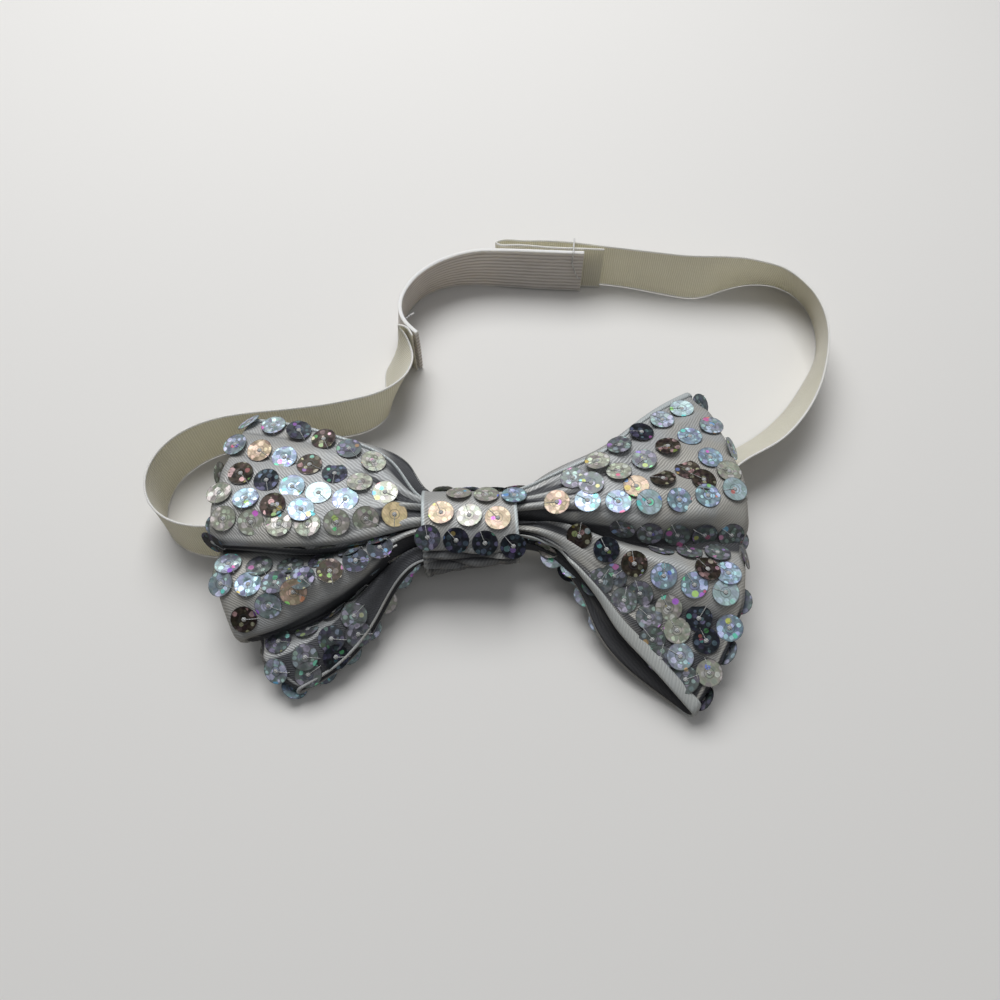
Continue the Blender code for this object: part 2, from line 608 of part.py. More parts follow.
def build_right_lap_thread(material, pivot):
    """Stitches on the elastic's cut end, carried over the band's upper edge."""
    face_y = ELASTIC[0][1] - ELASTIC_THICKNESS / 2 - CLEARANCE - THREAD_DIAMETER / 2
    back_y = RIBBON_RIGHT[9][1] + RIBBON_THICKNESS / 2 + CLEARANCE + THREAD_DIAMETER / 2 + 0.3
    over = BAND_WIDTH + CLEARANCE + THREAD_DIAMETER / 2
    points = [
        (29.0, back_y, BAND_WIDTH - 4.0), (29.0, back_y, over), (28.6, (face_y + back_y) / 2, over + 0.1),
        (28.4, face_y, over), (28.2, face_y + 0.1, BAND_WIDTH - 3.0), (29.4, face_y, 8.4),
        (30.4, face_y, 6.0), (31.2, face_y, 5.8)]
    return make_thread("right_lap_thread", points, material, parent=pivot)


# ---------------------------------------------------------------------------------------------
# Sequins
# ---------------------------------------------------------------------------------------------

def build_sequin(name, place, normal, material, pivot=None):
    """A flat disc with a sewing hole, its axis along normal."""
    axis = np.asarray(normal, float)
    side = np.cross(axis, (0.0, 1.0, 0.0))
    side /= np.linalg.norm(side)
    third = np.cross(axis, side)
    rings = []
    for radius, lift in ((SEQUIN_DIAMETER / 2, -1), (SEQUIN_DIAMETER / 2, 1),
                         (SEQUIN_HOLE / 2, 1), (SEQUIN_HOLE / 2, -1)):
        for turn in np.arange(SEQUIN_SIDES) * 2 * math.pi / SEQUIN_SIDES:
            flat = side * math.cos(turn) + third * math.sin(turn)
            rings.append(place + flat * radius + axis * lift * SEQUIN_THICKNESS / 2)
    faces = []
    for ring in range(4):
        for i in range(SEQUIN_SIDES):
            j = (i + 1) % SEQUIN_SIDES
            a = ring * SEQUIN_SIDES
            b = (ring + 1) % 4 * SEQUIN_SIDES
            faces.append((a + i, a + j, b + j, b + i))
    return make_object(name, rings, faces, material, place, pivot)


def sequin_lift(backing):
    """Height of a sequin's middle over the middle of the cloth that it is sewn to."""
    return backing / 2 + CLEARANCE + SEQUIN_THICKNESS / 2


def build_knot_sequins(material):
    """Three staggered rows across the front of the wrap."""
    line = wrap_line()
    length = chord_knots(line)
    normals = line_normals(line)
    front = length[line[:, 1] > line[:, 1].max() - 0.001].mean()
    number = 0
    for row, columns in ((-1, 2), (0, 3), (1, 2)):
        where = front + row * SEQUIN_PITCH
        middle = np.array([np.interp(where, length, line[:, i]) for i in range(2)])
        normal = -np.array([np.interp(where, length, normals[:, i]) for i in range(2)])
        normal /= np.linalg.norm(normal)
        y, z = middle + normal * (sequin_lift(WRAP_THICKNESS) + abs(row) * 0.35)
        for i in range(columns):
            number += 1
            x = (i - (columns - 1) / 2) * SEQUIN_PITCH
            build_sequin(f"knot_sequin_{number:02d}", np.array([x, y, z]), (0.0, *normal), material)


def build_wing_sequins(prefix, wing, rows, material, pivot):
    """Rows of sequins along a wing's front: (fold index, first distance, count, extra lift)."""
    number = 0
    for across, first, count, extra in rows:
        for along in wing.row(across, first, count):
            number += 1
            point, normal = wing.frame(along, across)
            place = point + normal * (sequin_lift(CLOTH) + extra)
            build_sequin(f"{prefix}_sequin_{number:02d}", place, normal, material, pivot)


# ---------------------------------------------------------------------------------------------
# The whole bow
# ---------------------------------------------------------------------------------------------

def main():
    for old in list(bpy.data.objects):
        bpy.data.objects.remove(old, do_unlink=True)

    satin = make_material("satin", (0.62, 0.63, 0.66), 0.42)
    foil = make_material("sequin_foil", (0.78, 0.80, 0.84), 0.18, 0.9)
    ribbon = make_material("ribbon", (0.68, 0.64, 0.50), 0.6)
    elastic = make_material("elastic", (0.80, 0.80, 0.80), 0.85)
    thread = make_material("thread", (0.85, 0.85, 0.83), 0.7)

    left_pivot = make_pivot("left_wing_hinge", (-ROOT_X, 0.0, ROOT_Z))
    right_pivot = make_pivot("right_wing_hinge", (ROOT_X, 0.0, ROOT_Z))
    band_pivot = make_pivot("band_swing", (0.0, SWING_Y, BAND_WIDTH / 2))

    build_knot_wrap(satin)
    build_waist(satin)
    build_gather_thread(thread)
    build_wrap_stitch(thread)
    build_knot_sequins(foil)

    left = Wing(-1, LEFT_FOLDS)
    right = Wing(1, RIGHT_FOLDS)
    build_wing("left_wing", left, satin, left_pivot)
    build_wing("right_wing", right, satin, right_pivot)
    build_wing_sequins("left", left, ((1.9, 7.0, 6, 0.45), (1.3, 16.5, 5, 0.1), (0.6, 20.0, 4, 0.3),
                                      (4.1, 26.0, 3, 0.2)), foil, left_pivot)
    build_wing_sequins("right", right, ((1.9, 7.0, 7, 0.45), (1.3, 17.0, 5, 0.1), (0.6, 22.5, 4, 0.3),
                                        (4.1, 20.0, 4, 0.2)), foil, right_pivot)
    loose = [wing_point + normal * (CLOTH / 2 + CLEARANCE + 0.6)
             for wing_point, normal in (left.frame(along, 4.6) for along in np.linspace(0.25, 0.8, 8))]
    make_thread("left_loose_thread", loose, thread, parent=left_pivot)

    build_strip("ribbon_middle", Strip(RIBBON_MIDDLE, RIBBON_THICKNESS, 1), ribbon)
    build_strip("ribbon_left", Strip(RIBBON_LEFT, RIBBON_THICKNESS, -1), ribbon, band_pivot)
    build_strip("elastic", Strip(ELASTIC, ELASTIC_THICKNESS, 1), elastic, band_pivot)
    build_strip("ribbon_right", Strip(RIBBON_RIGHT, RIBBON_THICKNESS, -1), ribbon, band_pivot)
    build_left_seam_thread(thread, band_pivot)
    build_right_lap_thread(thread, band_pivot)


main()
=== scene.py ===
"""Sequinned satin hair bow on a ribbon and elastic head band: the finished surfaces.

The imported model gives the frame: origin at the middle of the knot's flat back, +X along the bow,
+Y towards the far side of the band, +Z out of the bow's front.  Every size below is in
millimetres and becomes metres only when a mesh is made.
"""

from __future__ import annotations

import logging
import math
from dataclasses import dataclass, field
from enum import Enum

import bpy
import numpy as np
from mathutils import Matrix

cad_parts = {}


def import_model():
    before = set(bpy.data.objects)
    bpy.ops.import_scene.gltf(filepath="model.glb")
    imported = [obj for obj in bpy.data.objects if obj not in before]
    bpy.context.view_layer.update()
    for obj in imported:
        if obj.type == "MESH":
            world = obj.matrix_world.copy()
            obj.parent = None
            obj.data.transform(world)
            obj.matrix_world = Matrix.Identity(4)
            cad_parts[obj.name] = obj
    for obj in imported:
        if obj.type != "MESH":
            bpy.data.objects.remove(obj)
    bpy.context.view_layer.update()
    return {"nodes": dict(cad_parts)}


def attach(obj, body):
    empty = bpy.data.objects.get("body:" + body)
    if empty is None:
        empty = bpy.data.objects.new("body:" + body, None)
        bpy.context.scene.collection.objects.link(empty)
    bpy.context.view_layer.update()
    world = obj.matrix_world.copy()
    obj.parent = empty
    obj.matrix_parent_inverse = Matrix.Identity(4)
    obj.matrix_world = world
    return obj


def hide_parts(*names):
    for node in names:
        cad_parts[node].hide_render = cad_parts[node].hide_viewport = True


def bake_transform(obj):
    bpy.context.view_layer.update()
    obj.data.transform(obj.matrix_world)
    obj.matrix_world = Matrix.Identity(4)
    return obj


MM = 0.001
LOG = logging.getLogger("bow")

# The UV map and the marks that the finishes read.  The fold mark is painted light and shade: above 0
# it is a painted highlight on a fold or a hem, below 0 painted shade in a valley, under a higher
# fold, in the gathers and on the lowest folds; the tone mark is a sequin's colour and strength,
# partly painted reflection and painted shade.
UV_MAP = "cloth"
PAINTED_LIGHT_MARK = "fold"
TONE = "tone"

Array = np.ndarray
Point = tuple[float, float, float]
Colour = tuple[float, float, float]
Thing = bpy.types.Object
Material = bpy.types.Material
Node = bpy.types.Node
NodeTree = bpy.types.NodeTree
Socket = bpy.types.NodeSocket


# ---- Curves and surfaces ----

def spline(knots: Array, values: Array, wanted: Array) -> Array:
    """Natural cubic spline: the smooth line through values that is straight at both ends.

    Args:
        knots: Growing parameter of each value, shape (n,).
        values: Points, shape (n, d).
        wanted: Parameters to read, shape (m,).

    Returns:
        Points at the wanted parameters, shape (m, d).
    """
    count = len(knots)
    step = np.diff(knots)
    slope = np.diff(values, axis=0) / step[:, None]
    inner = np.arange(1, count - 1)
    matrix = np.eye(count)
    matrix[inner, inner - 1] = step[:-1]
    matrix[inner, inner] = 2 * (step[:-1] + step[1:])
    matrix[inner, inner + 1] = step[1:]
    right = np.zeros_like(values)
    right[1:-1] = 6 * np.diff(slope, axis=0)
    bend = np.linalg.solve(matrix, right)
    span = np.clip(np.searchsorted(knots, wanted, side="right") - 1, 0, count - 2)
    width = step[span][:, None]
    before = (knots[span + 1] - wanted)[:, None]
    after = (wanted - knots[span])[:, None]
    curve = (bend[span] * before ** 3 + bend[span + 1] * after ** 3) / (6 * width)
    curve += (values[span] / width - bend[span] * width / 6) * before
    return curve + (values[span + 1] / width - bend[span + 1] * width / 6) * after


def lengths(points: Array, axis: int = 0) -> Array:
    """Distance travelled along a line of points, from 0, along the given axis.

    Args:
        points: Points, the last axis being x, y, z.
        axis: The axis that runs along the line.

    Returns:
        The running length, with points' shape less the last axis.
    """
    step = np.linalg.norm(np.diff(points, axis=axis), axis=-1)
    start = np.zeros_like(np.take(step, [0], axis=axis))
    return np.cumsum(np.concatenate([start, step], axis=axis), axis=axis)


def smooth_line(points: Array, shares: Array) -> Array:
    """The natural spline through points, read at shares (0 to 1) of its chord length."""
    knots = lengths(points)
    return spline(knots, points, shares * knots[-1])


def unit(vectors: Array) -> Array:
    """Vectors along the last axis brought to length 1."""
    return vectors / np.maximum(np.linalg.norm(vectors, axis=-1, keepdims=True), 1e-12)


def smoothstep(low: float, high: float, value: Array) -> Array:
    """0 below low, 1 above high, and an S-shaped cubic between."""
    share = np.clip((value - low) / (high - low), 0.0, 1.0)
    return share * share * (3 - 2 * share)


def grid_normals(grid: Array) -> Array:
    """Unit normals of a surface grid: the cross product of its two directions.

    Args:
        grid: Points, shape (rows, columns, 3).

    Returns:
        Normals of the same shape.
    """
    return unit(np.cross(np.gradient(grid, axis=0), np.gradient(grid, axis=1)))


def rounded_outline(corners: list[Point], arc_steps: int) -> Array:
    """An open line in a plane whose corners are arcs.

    Args:
        corners: (first coordinate, second coordinate, radius) of each corner.
        arc_steps: Straight steps in each arc.

    Returns:
        Points, shape (n, 2).
    """
    points = [np.array(corners[0][:2])]
    for before, here, after in zip(corners, corners[1:], corners[2:]):
        corner = np.array(here[:2])
        way_in = unit(np.array(before[:2]) - corner)
        way_out = unit(np.array(after[:2]) - corner)
        half = math.acos(float(np.clip(way_in @ way_out, -1, 1))) / 2
        centre = corner + unit(way_in + way_out) * here[2] / math.sin(half)
        first = corner + way_in * here[2] / math.tan(half) - centre
        last = corner + way_out * here[2] / math.tan(half) - centre
        turn = math.pi - 2 * half
        share = np.linspace(0, 1, arc_steps + 1)[:, None]
        blend = np.sin((1 - share) * turn) * first + np.sin(share * turn) * last
        points.extend(centre + blend / math.sin(turn))
    points.append(np.array(corners[-1][:2]))
    return np.array(points)


def read_line(line: Array, length: Array, wanted: float | Array) -> Array:
    """Points of a line at some of its running lengths, with straight steps between its own.

    Args:
        line: Points, shape (n, d).
        length: Running length at each of them, shape (n,).
        wanted: The lengths to read, one number or shape (m,).

    Returns:
        Shape (d,) or (m, d).
    """
    return np.stack([np.interp(wanted, length, values) for values in line.T], axis=-1)


def even_steps(line: Array, count: int) -> Array:
    """The same line with count points at equal distances."""
    along = lengths(line)
    return read_line(line, along, np.linspace(0, along[-1], count))


def circle(sides: int) -> Array:
    """Corners of a circle of radius 1 in the XY plane: (cos, sin, 0), shape (sides, 3)."""
    angle = np.linspace(0, 2 * math.pi, sides, endpoint=False)
    return np.stack([np.cos(angle), np.sin(angle), np.zeros(sides)], -1)


# ---- Meshes ----

@dataclass
class Shape:
    """Points, faces and surface data of one mesh, in millimetres.

    Attributes:
        points: Places, shape (n, 3).
        faces: Corner numbers, a list of arrays of shape (m, corners).
        uv: One (u, v) per face corner, in the order of the faces, or None.
        marks: Named numbers per point, shape (n,), or colours, shape (n, 4).
    """

    points: Array
    faces: list[Array]
    uv: Array | None = None
    marks: dict[str, Array] = field(default_factory=dict)


def place_object(name: str, data: bpy.types.ID) -> Thing:
    """A new object of the scene, at the origin."""
    thing = bpy.data.objects.new(name, data)
    bpy.context.scene.collection.objects.link(thing)
    return thing


def build_object(name: str, shape: Shape, material: Material,
                 sharp: float = 50.0) -> Thing:
    """Puts a shape into the scene as a mesh object at the origin.

    Args:
        name: The object's name.
        shape: Its geometry.
        material: Its finish.
        sharp: Angle in degrees past which an edge is shaded sharp.

    Returns:
        The new object.
    """
    mesh = bpy.data.meshes.new(name)
    corners = np.concatenate([f.reshape(-1) for f in shape.faces]).astype(np.int32)
    totals = np.concatenate([np.full(len(f), f.shape[1]) for f in shape.faces]).astype(np.int32)
    starts = np.concatenate([[0], np.cumsum(totals)[:-1]]).astype(np.int32)
    mesh.vertices.add(len(shape.points))
    mesh.vertices.foreach_set("co", (np.asarray(shape.points) * MM).astype(np.float32).ravel())
    mesh.loops.add(len(corners))
    mesh.loops.foreach_set("vertex_index", corners)
    mesh.polygons.add(len(totals))
    mesh.polygons.foreach_set("loop_start", starts)
    mesh.polygons.foreach_set("loop_total", totals)
    mesh.update(calc_edges=True)
    if shape.uv is not None:
        layer = mesh.uv_layers.new(name=UV_MAP)
        layer.data.foreach_set("uv", shape.uv.astype(np.float32).ravel())
    for mark, values in shape.marks.items():
        kind, key = ("FLOAT_COLOR", "color") if values.ndim == 2 else ("FLOAT", "value")
        attribute = mesh.attributes.new(mark, kind, "POINT")
        attribute.data.foreach_set(key, values.astype(np.float32).ravel())
    mesh.shade_smooth()
    mesh.set_sharp_from_angle(angle=math.radians(sharp))
    mesh.materials.append(material)
    return place_object(name, mesh)


def grid_faces(rows: int, columns: int, closed: bool = False) -> Array:
    """Quads between neighbouring rows and columns of a grid of points.

    Args:
        rows: Number of rows.
        columns: Number of columns.
        closed: Whether the last column joins the first.

    Returns:
        Corner numbers, shape (quads, 4).
    """
    i, j = np.meshgrid(np.arange(rows - 1), np.arange(columns if closed else columns - 1), indexing="ij")
    after = (j + 1) % columns
    here, next_row = i * columns, (i + 1) * columns
    return np.stack([here + j, here + after, next_row + after, next_row + j], -1).reshape(-1, 4)


def grid_uv(along: Array, across: Array) -> Array:
    """The (u, v) of a grid's points: u is the same all along a row.

    Args:
        along: u of each row, shape (rows,).
        across: v, shape (columns,) or (rows, columns).

    Returns:
        Shape (rows, columns, 2).
    """
    return np.stack(np.broadcast_arrays(along[:, None], across), -1)


def grid_corner_uv(uv: Array) -> Array:
    """The (u, v) of each corner of grid_faces' quads.

    Args:
        uv: Shape (rows, columns, 2); on a closed grid it has one column more than the points.

    Returns:
        Shape (quads * 4, 2).
    """
    corners = np.stack([uv[:-1, :-1], uv[:-1, 1:], uv[1:, 1:], uv[1:, :-1]], axis=2)
    return corners.reshape(-1, 2)


def sheet_shape(grid: Array, uv: Array, marks: dict[str, Array]) -> Shape:
    """An open sheet from a grid of points.

    Args:
        grid: Points, shape (rows, columns, 3).
        uv: Shape (rows, columns, 2), in millimetres of cloth.
        marks: Numbers per grid point, shape (rows, columns).

    Returns:
        The sheet's shape.
    """
    rows, columns = grid.shape[:2]
    flat = {name: values.reshape(-1) for name, values in marks.items()}
    return Shape(grid.reshape(-1, 3), [grid_faces(rows, columns)], grid_corner_uv(uv), flat)


def swept_shape(rings: Array, uv: Array) -> Shape:
    """A closed solid through rings of points, with its two ends capped.

    Args:
        rings: Points, shape (sections, points round the ring, 3).
        uv: Shape (sections, points round the ring + 1, 2).

    Returns:
        The solid's shape.
    """
    rows, columns = rings.shape[:2]
    first = np.arange(columns)[None, ::-1]
    last = (rows - 1) * columns + np.arange(columns)[None, :]
    side_uv = grid_corner_uv(uv)
    cap_uv = np.concatenate([uv[0, :columns][::-1], uv[-1, :columns]])
    return Shape(rings.reshape(-1, 3), [grid_faces(rows, columns, closed=True), first, last],
                 np.concatenate([side_uv, cap_uv]))


def tube_shape(path: Array, radius: float, sides: int) -> Shape:
    """A round thread along a path: circles square to the path, turned as little as possible.

    Args:
        path: Points of the thread's middle, shape (n, 3), never straight up.
        radius: Its radius.
        sides: Corners of each circle.

    Returns:
        The thread's shape, with u along it and v round it, in millimetres.
    """
    along = unit(np.gradient(path, axis=0))
    side = unit(np.cross(along, np.array([0.0, 0.0, 1.0])))
    third = np.cross(side, along)
    x, y, _ = circle(sides).T[:, None, :, None]
    ring = side[:, None] * x + third[:, None] * y
    round_it = np.linspace(0, 2 * math.pi * radius, sides + 1)
    return swept_shape(path[:, None] + ring * radius, grid_uv(lengths(path), round_it))


def joined(shapes: list[Shape]) -> Shape:
    """Several shapes as one mesh; those with the same marks keep them.

    Args:
        shapes: The shapes, all with UVs.

    Returns:
        One shape that holds them all.
    """
    offset = 0
    points, faces, uv = [], [], []
    for shape in shapes:
        points.append(shape.points)
        faces.extend(f + offset for f in shape.faces)
        uv.append(shape.uv)
        offset += len(shape.points)
    marks = {name: np.concatenate([s.marks[name] for s in shapes]) for name in shapes[0].marks}
    return Shape(np.concatenate(points), faces, np.concatenate(uv), marks)


def build_cloth(name: str, shape: Shape, material: Material, thickness: float) -> Thing:
    """Makes a sheet that has its thickness, half to each side, as real faces.

    Args:
        name: The object's name.
        shape: The sheet's middle surface.
        material: Its finish.
        thickness: Of the cloth.

    Returns:
        The new object.
    """
    thing = build_object(name, shape, material)
    wall = thing.modifiers.new("thickness", "SOLIDIFY")
    wall.thickness = thickness * MM
    wall.offset = 0.0
    wall.use_even_offset = False
    view = bpy.context.evaluated_depsgraph_get()
    mesh = bpy.data.meshes.new_from_object(thing.evaluated_get(view), preserve_all_data_layers=True,
                                           depsgraph=view)
    thing.modifiers.clear()
    thing.data = mesh
    return thing


# ---- Finishes ----

class Net:
    """A node tree under construction, either a material's or a group's."""

    def __init__(self, tree: NodeTree) -> None:
        """Starts on an existing tree."""
        self.tree = tree

    def add(self, kind: str, settings: dict[str, object] | None = None, **inputs: object) -> Node:
        """Adds a node.

        Args:
            kind: The node's type, without the leading ShaderNode.
            settings: Properties of the node.
            **inputs: Sockets, as feed_all takes them.

        Returns:
            The node.
        """
        node = self.tree.nodes.new(kind if kind.startswith("NodeGroup") else "ShaderNode" + kind)
        for name, value in (settings or {}).items():
            setattr(node, name, value)
        self.feed_all(node, **inputs)
        return node

    def feed(self, socket: Socket, value: object) -> None:
        """Links a socket to another, or sets its default value."""
        if isinstance(value, Socket):
            self.tree.links.new(value, socket)
        elif isinstance(value, tuple) and len(value) == 3 and socket.type == "RGBA":
            socket.default_value = (*value, 1.0)
        else:
            socket.default_value = value

    def feed_all(self, node: Node, **inputs: object) -> None:
        """Feeds several sockets of a node.

        Args:
            node: The node.
            **inputs: Sockets by name with underscores for spaces, or by number as i0, i1 and so
                on; a socket is linked and anything else becomes the default value.
        """
        for name, value in inputs.items():
            key = int(name[1:]) if name[0] == "i" and name[1:].isdigit() else name.replace("_", " ")
            self.feed(node.inputs[key], value)

    def math(self, operation: str, *values: object) -> Socket:
        """Output of a Math node on one to three numbers or sockets."""
        return self.add("Math", {"operation": operation}, **numbered(values)).outputs[0]

    def times(self, one: object, other: object) -> Socket:
        """One number times another."""
        return self.math("MULTIPLY", one, other)

    def vector(self, operation: str, *values: object) -> Socket:
        """Output of a Vector Math node."""
        return self.add("VectorMath", {"operation": operation}, **numbered(values)).outputs[0]

    def scaled(self, vector: object, factor: object) -> Socket:
        """A vector times a number."""
        return self.add("VectorMath", {"operation": "SCALE"}, i0=vector, Scale=factor).outputs[0]

    def mix(self, share: object, low: object, high: object, blend: str = "MIX") -> Socket:
        """Output of a colour Mix node: low at share 0, high at share 1."""
        node = self.add("Mix", {"data_type": "RGBA", "blend_type": blend}, Factor=share, i6=low, i7=high)
        return node.outputs[2]

    def ramp(self, value: object, low: float, high: float, out_low: float = 0.0,
             out_high: float = 1.0) -> Socket:
        """Value carried smoothly from low..high to out_low..out_high, clamped."""
        node = self.add("MapRange", {"interpolation_type": "SMOOTHSTEP"}, Value=value, From_Min=low,
                        From_Max=high, To_Min=out_low, To_Max=out_high)
        return node.outputs[0]

    def noise(self, vector: object, scale: object, detail: float = 2.0) -> Socket:
        """Grey noise at a place."""
        return self.add("TexNoise", Vector=vector, Scale=scale, Detail=detail).outputs[0]

    def group(self, tree: NodeTree, **inputs: object) -> Node:
        """Adds a node group."""
        return self.add("Group", {"node_tree": tree}, **inputs)

    def cloth_place(self) -> Socket:
        """Place on the piece's own UV map."""
        return self.add("UVMap", {"uv_map": UV_MAP}).outputs[0]

    def object_place(self) -> Socket:
        """Place in the object, in metres."""
        return self.add("TexCoord").outputs["Object"]

    def bump(self, height: object, strength: float, distance: float) -> Socket:
        """A normal disturbed by a height; the distance is in millimetres."""
        return self.add("Bump", Strength=strength, Distance=distance * MM, Height=height).outputs[0]


def numbered(values: tuple[object, ...]) -> dict[str, object]:
    """Values keyed i0, i1 and so on, as Net.feed_all takes them."""
    return {f"i{number}": value for number, value in enumerate(values)}


def new_group(name: str, inputs: dict[str, float], outputs: tuple[str, ...]) -> tuple[Net, Node, Node]:
    """An empty shader node group with its sockets.

    Args:
        name: The group's name.
        inputs: Inputs and their defaults; a name that ends in Vector is a vector.
        outputs: Names of the number outputs.

    Returns:
        The net to build in, the group's input node and its output node.
    """
    tree = bpy.data.node_groups.new(name, "ShaderNodeTree")
    for label, default in inputs.items():
        kind = "NodeSocketVector" if label.endswith("Vector") else "NodeSocketFloat"
        socket = tree.interface.new_socket(name=label, in_out="INPUT", socket_type=kind)
        if kind == "NodeSocketFloat":
            socket.default_value = default
    for label in outputs:
        tree.interface.new_socket(name=label, in_out="OUTPUT", socket_type="NodeSocketFloat")
    net = Net(tree)
    return net, net.add("NodeGroupInput"), net.add("NodeGroupOutput")


class Effects:
    """The node groups that several finishes share, each built once."""

    def __init__(self) -> None:
        """Builds every group."""
        self.twill = self.build_twill()
        self.ribs = self.build_ribs()
        self.soiling = self.build_soiling()

    @staticmethod
    def build_twill() -> NodeTree:
        """Slanting weave lines: a sine across the slant whose phase wanders with noise.

        The height is the line with half of a finer, stretched noise added, as the thread.

        Returns:
            A group with Place Vector, Pitch and Slant in, and Line and Height out.
        """
        net, given, out = new_group("slanting_weave", {"Place Vector": 0, "Pitch": 0.65, "Slant": 0.6},
                                    ("Line", "Height"))
        place, pitch, slant = given.outputs[:3]
        parts = net.add("SeparateXYZ", i0=place)
        turned = net.math("ADD", net.times(parts.outputs[0], net.math("SINE", slant)),
                          net.times(parts.outputs[1], net.math("COSINE", slant)))
        wander = net.noise(place, 0.35)
        phase = net.math("DIVIDE", net.math("ADD", turned, net.times(wander, 0.9)), pitch)
        line = net.math("SINE", net.times(phase, 2 * math.pi))
        line = net.math("MULTIPLY_ADD", line, 0.5, 0.5)
        thread = net.noise(net.vector("MULTIPLY", place, (1.0, 6.0, 1.0)), 1.6, 1.0)
        net.feed_all(out, Line=line, Height=net.math("MULTIPLY_ADD", thread, 0.5, line))
        return net.tree

    @staticmethod
    def build_ribs() -> NodeTree:
        """Straight weave ribs: a sine along u without its sign, whose phase wanders with noise.

        The height is the rib with a third of a finer, stretched noise added.

        Returns:
            A group with Place Vector and Pitch in, and Line and Height out.
        """
        net, given, out = new_group("cross_ribs", {"Place Vector": 0, "Pitch": 0.65}, ("Line", "Height"))
        place, pitch = given.outputs[:2]
        along = net.add("SeparateXYZ", i0=place).outputs[0]
        moved = net.math("ADD", along, net.times(net.noise(place, 0.25, 1.0), 0.5))
        phase = net.math("DIVIDE", moved, pitch)
        line = net.math("ABSOLUTE", net.math("SINE", net.times(phase, math.pi)))
        fine = net.noise(net.vector("MULTIPLY", place, (3.0, 9.0, 1.0)), 0.8, 1.0)
        net.feed_all(out, Line=line, Height=net.math("MULTIPLY_ADD", fine, 0.35, line))
        return net.tree

    @staticmethod
    def build_soiling() -> NodeTree:
        """Uneven shade of handled cloth: broad and medium noise added up.

        Returns:
            A group with Place Vector and Scale in, and Shade out, round 0.5.
        """
        net, given, out = new_group("handled_shade", {"Place Vector": 0, "Scale": 60.0}, ("Shade",))
        place, scale = given.outputs[:2]
        broad = net.noise(place, scale, 3.0)
        medium = net.noise(place, net.times(scale, 5.0))
        shade = net.math("ADD", net.times(broad, 0.7), net.times(medium, 0.3))
        net.feed_all(out, Shade=shade)
        return net.tree


def new_material(name: str) -> tuple[Material, Net, Node]:
    """An empty material with its Principled shader.

    Args:
        name: The material's name.

    Returns:
        The material, a net to build in and the shader node.
    """
    material = bpy.data.materials.new(name)
    material.use_nodes = True
    return material, Net(material.node_tree), material.node_tree.nodes["Principled BSDF"]


@dataclass(frozen=True)
class Satin:
    """Silver-grey satin with a fine twill, with painted highlight on its folds and hems and painted shade
    in its valleys.

    Attributes:
        name: The material's name.
        thread: Colour of the raised lines.
        ground: Colour between them.
        fold: Painted highlight colour of a pressed fold or hem.
        valley_shade: Painted shade colour at the bottom of a pleat.
        warm: Cast of the warmer patches.
        pitch: Distance between the lines.
        slant: Angle of the lines to the cloth's length, in radians.
        shade_scale, cast_scale: Fineness of the darker and of the warmer patches.
    """

    name: str = "satin_twill"
    thread: Colour = (0.47, 0.485, 0.49)
    ground: Colour = (0.345, 0.355, 0.36)
    fold: Colour = (0.60, 0.665, 0.68)
    valley_shade: Colour = (0.042, 0.044, 0.052)
    warm: Colour = (1.0, 0.93, 0.82)
    pitch: float = 0.58
    slant: float = 0.75
    shade_scale: float = 90.0
    cast_scale: float = 38.0

    def make(self, effects: Effects) -> Material:
        """Builds the material on the cloth's own UV map, which is in millimetres."""
        material, net, shader = new_material(self.name)
        weave = net.group(effects.twill, Place_Vector=net.cloth_place(), Pitch=self.pitch, Slant=self.slant)
        line = weave.outputs["Line"]
        spot = net.object_place()
        shade = net.group(effects.soiling, Place_Vector=spot, Scale=self.shade_scale).outputs[0]
        cast = net.group(effects.soiling, Place_Vector=spot, Scale=self.cast_scale).outputs[0]
        fold = net.add("Attribute", {"attribute_name": PAINTED_LIGHT_MARK}).outputs["Fac"]
        base = net.mix(line, self.ground, self.thread)
        base = net.mix(net.ramp(cast, 0.42, 0.60, 0.0, 0.85), base, self.warm, "MULTIPLY")
        base = net.mix(net.ramp(shade, 0.35, 0.7, 0.0, 0.25), base, self.ground)
        # Painted highlight where the fold mark is above 0, painted shade where it is below 0; the painted
        # shade also dims the sheen and the specular.
        base = net.mix(net.ramp(fold, 0.3, 0.95, 0.0, 0.85), base, self.fold)
        painted_shade_share = net.ramp(fold, -0.95, -0.12, 1.0, 0.0)
        base = net.mix(net.times(painted_shade_share, 0.92), base, self.valley_shade)
        net.feed_all(shader, Base_Color=base, Roughness=net.ramp(line, 0.0, 1.0, 0.52, 0.36), Metallic=0.12,
                     Specular_IOR_Level=net.ramp(painted_shade_share, 0.0, 1.0, 0.5, 0.2),
                     Sheen_Weight=net.ramp(painted_shade_share, 0.0, 1.0, 0.2, 0.0), Sheen_Roughness=0.4,
                     Normal=net.bump(weave.outputs["Height"], 0.5, 0.10))
        return material


class Tone(Enum):
    """How a sequin's foil catches the light: its base colour and how strong its cells are.  The tones
    are partly painted reflections of warm, of pale and of dark surroundings, and partly painted shade
    on sequins low in the folds.
    """

    CLEAR = ((0.54, 0.53, 0.44), 0.55)
    WHITE = ((0.56, 0.71, 0.73), 0.35)
    SILVER = ((0.50, 0.57, 0.60), 0.75)
    ICE = ((0.48, 0.59, 0.70), 0.85)
    PEACH = ((0.58, 0.44, 0.31), 0.45)
    GOLD = ((0.95, 0.76, 0.44), 0.20)
    DIM = ((0.25, 0.265, 0.26), 0.80)
    SMOKE = ((0.15, 0.16, 0.17), 1.00)
    BROWN = ((0.13, 0.095, 0.07), 1.80)
    NIGHT = ((0.05, 0.055, 0.07), 1.40)


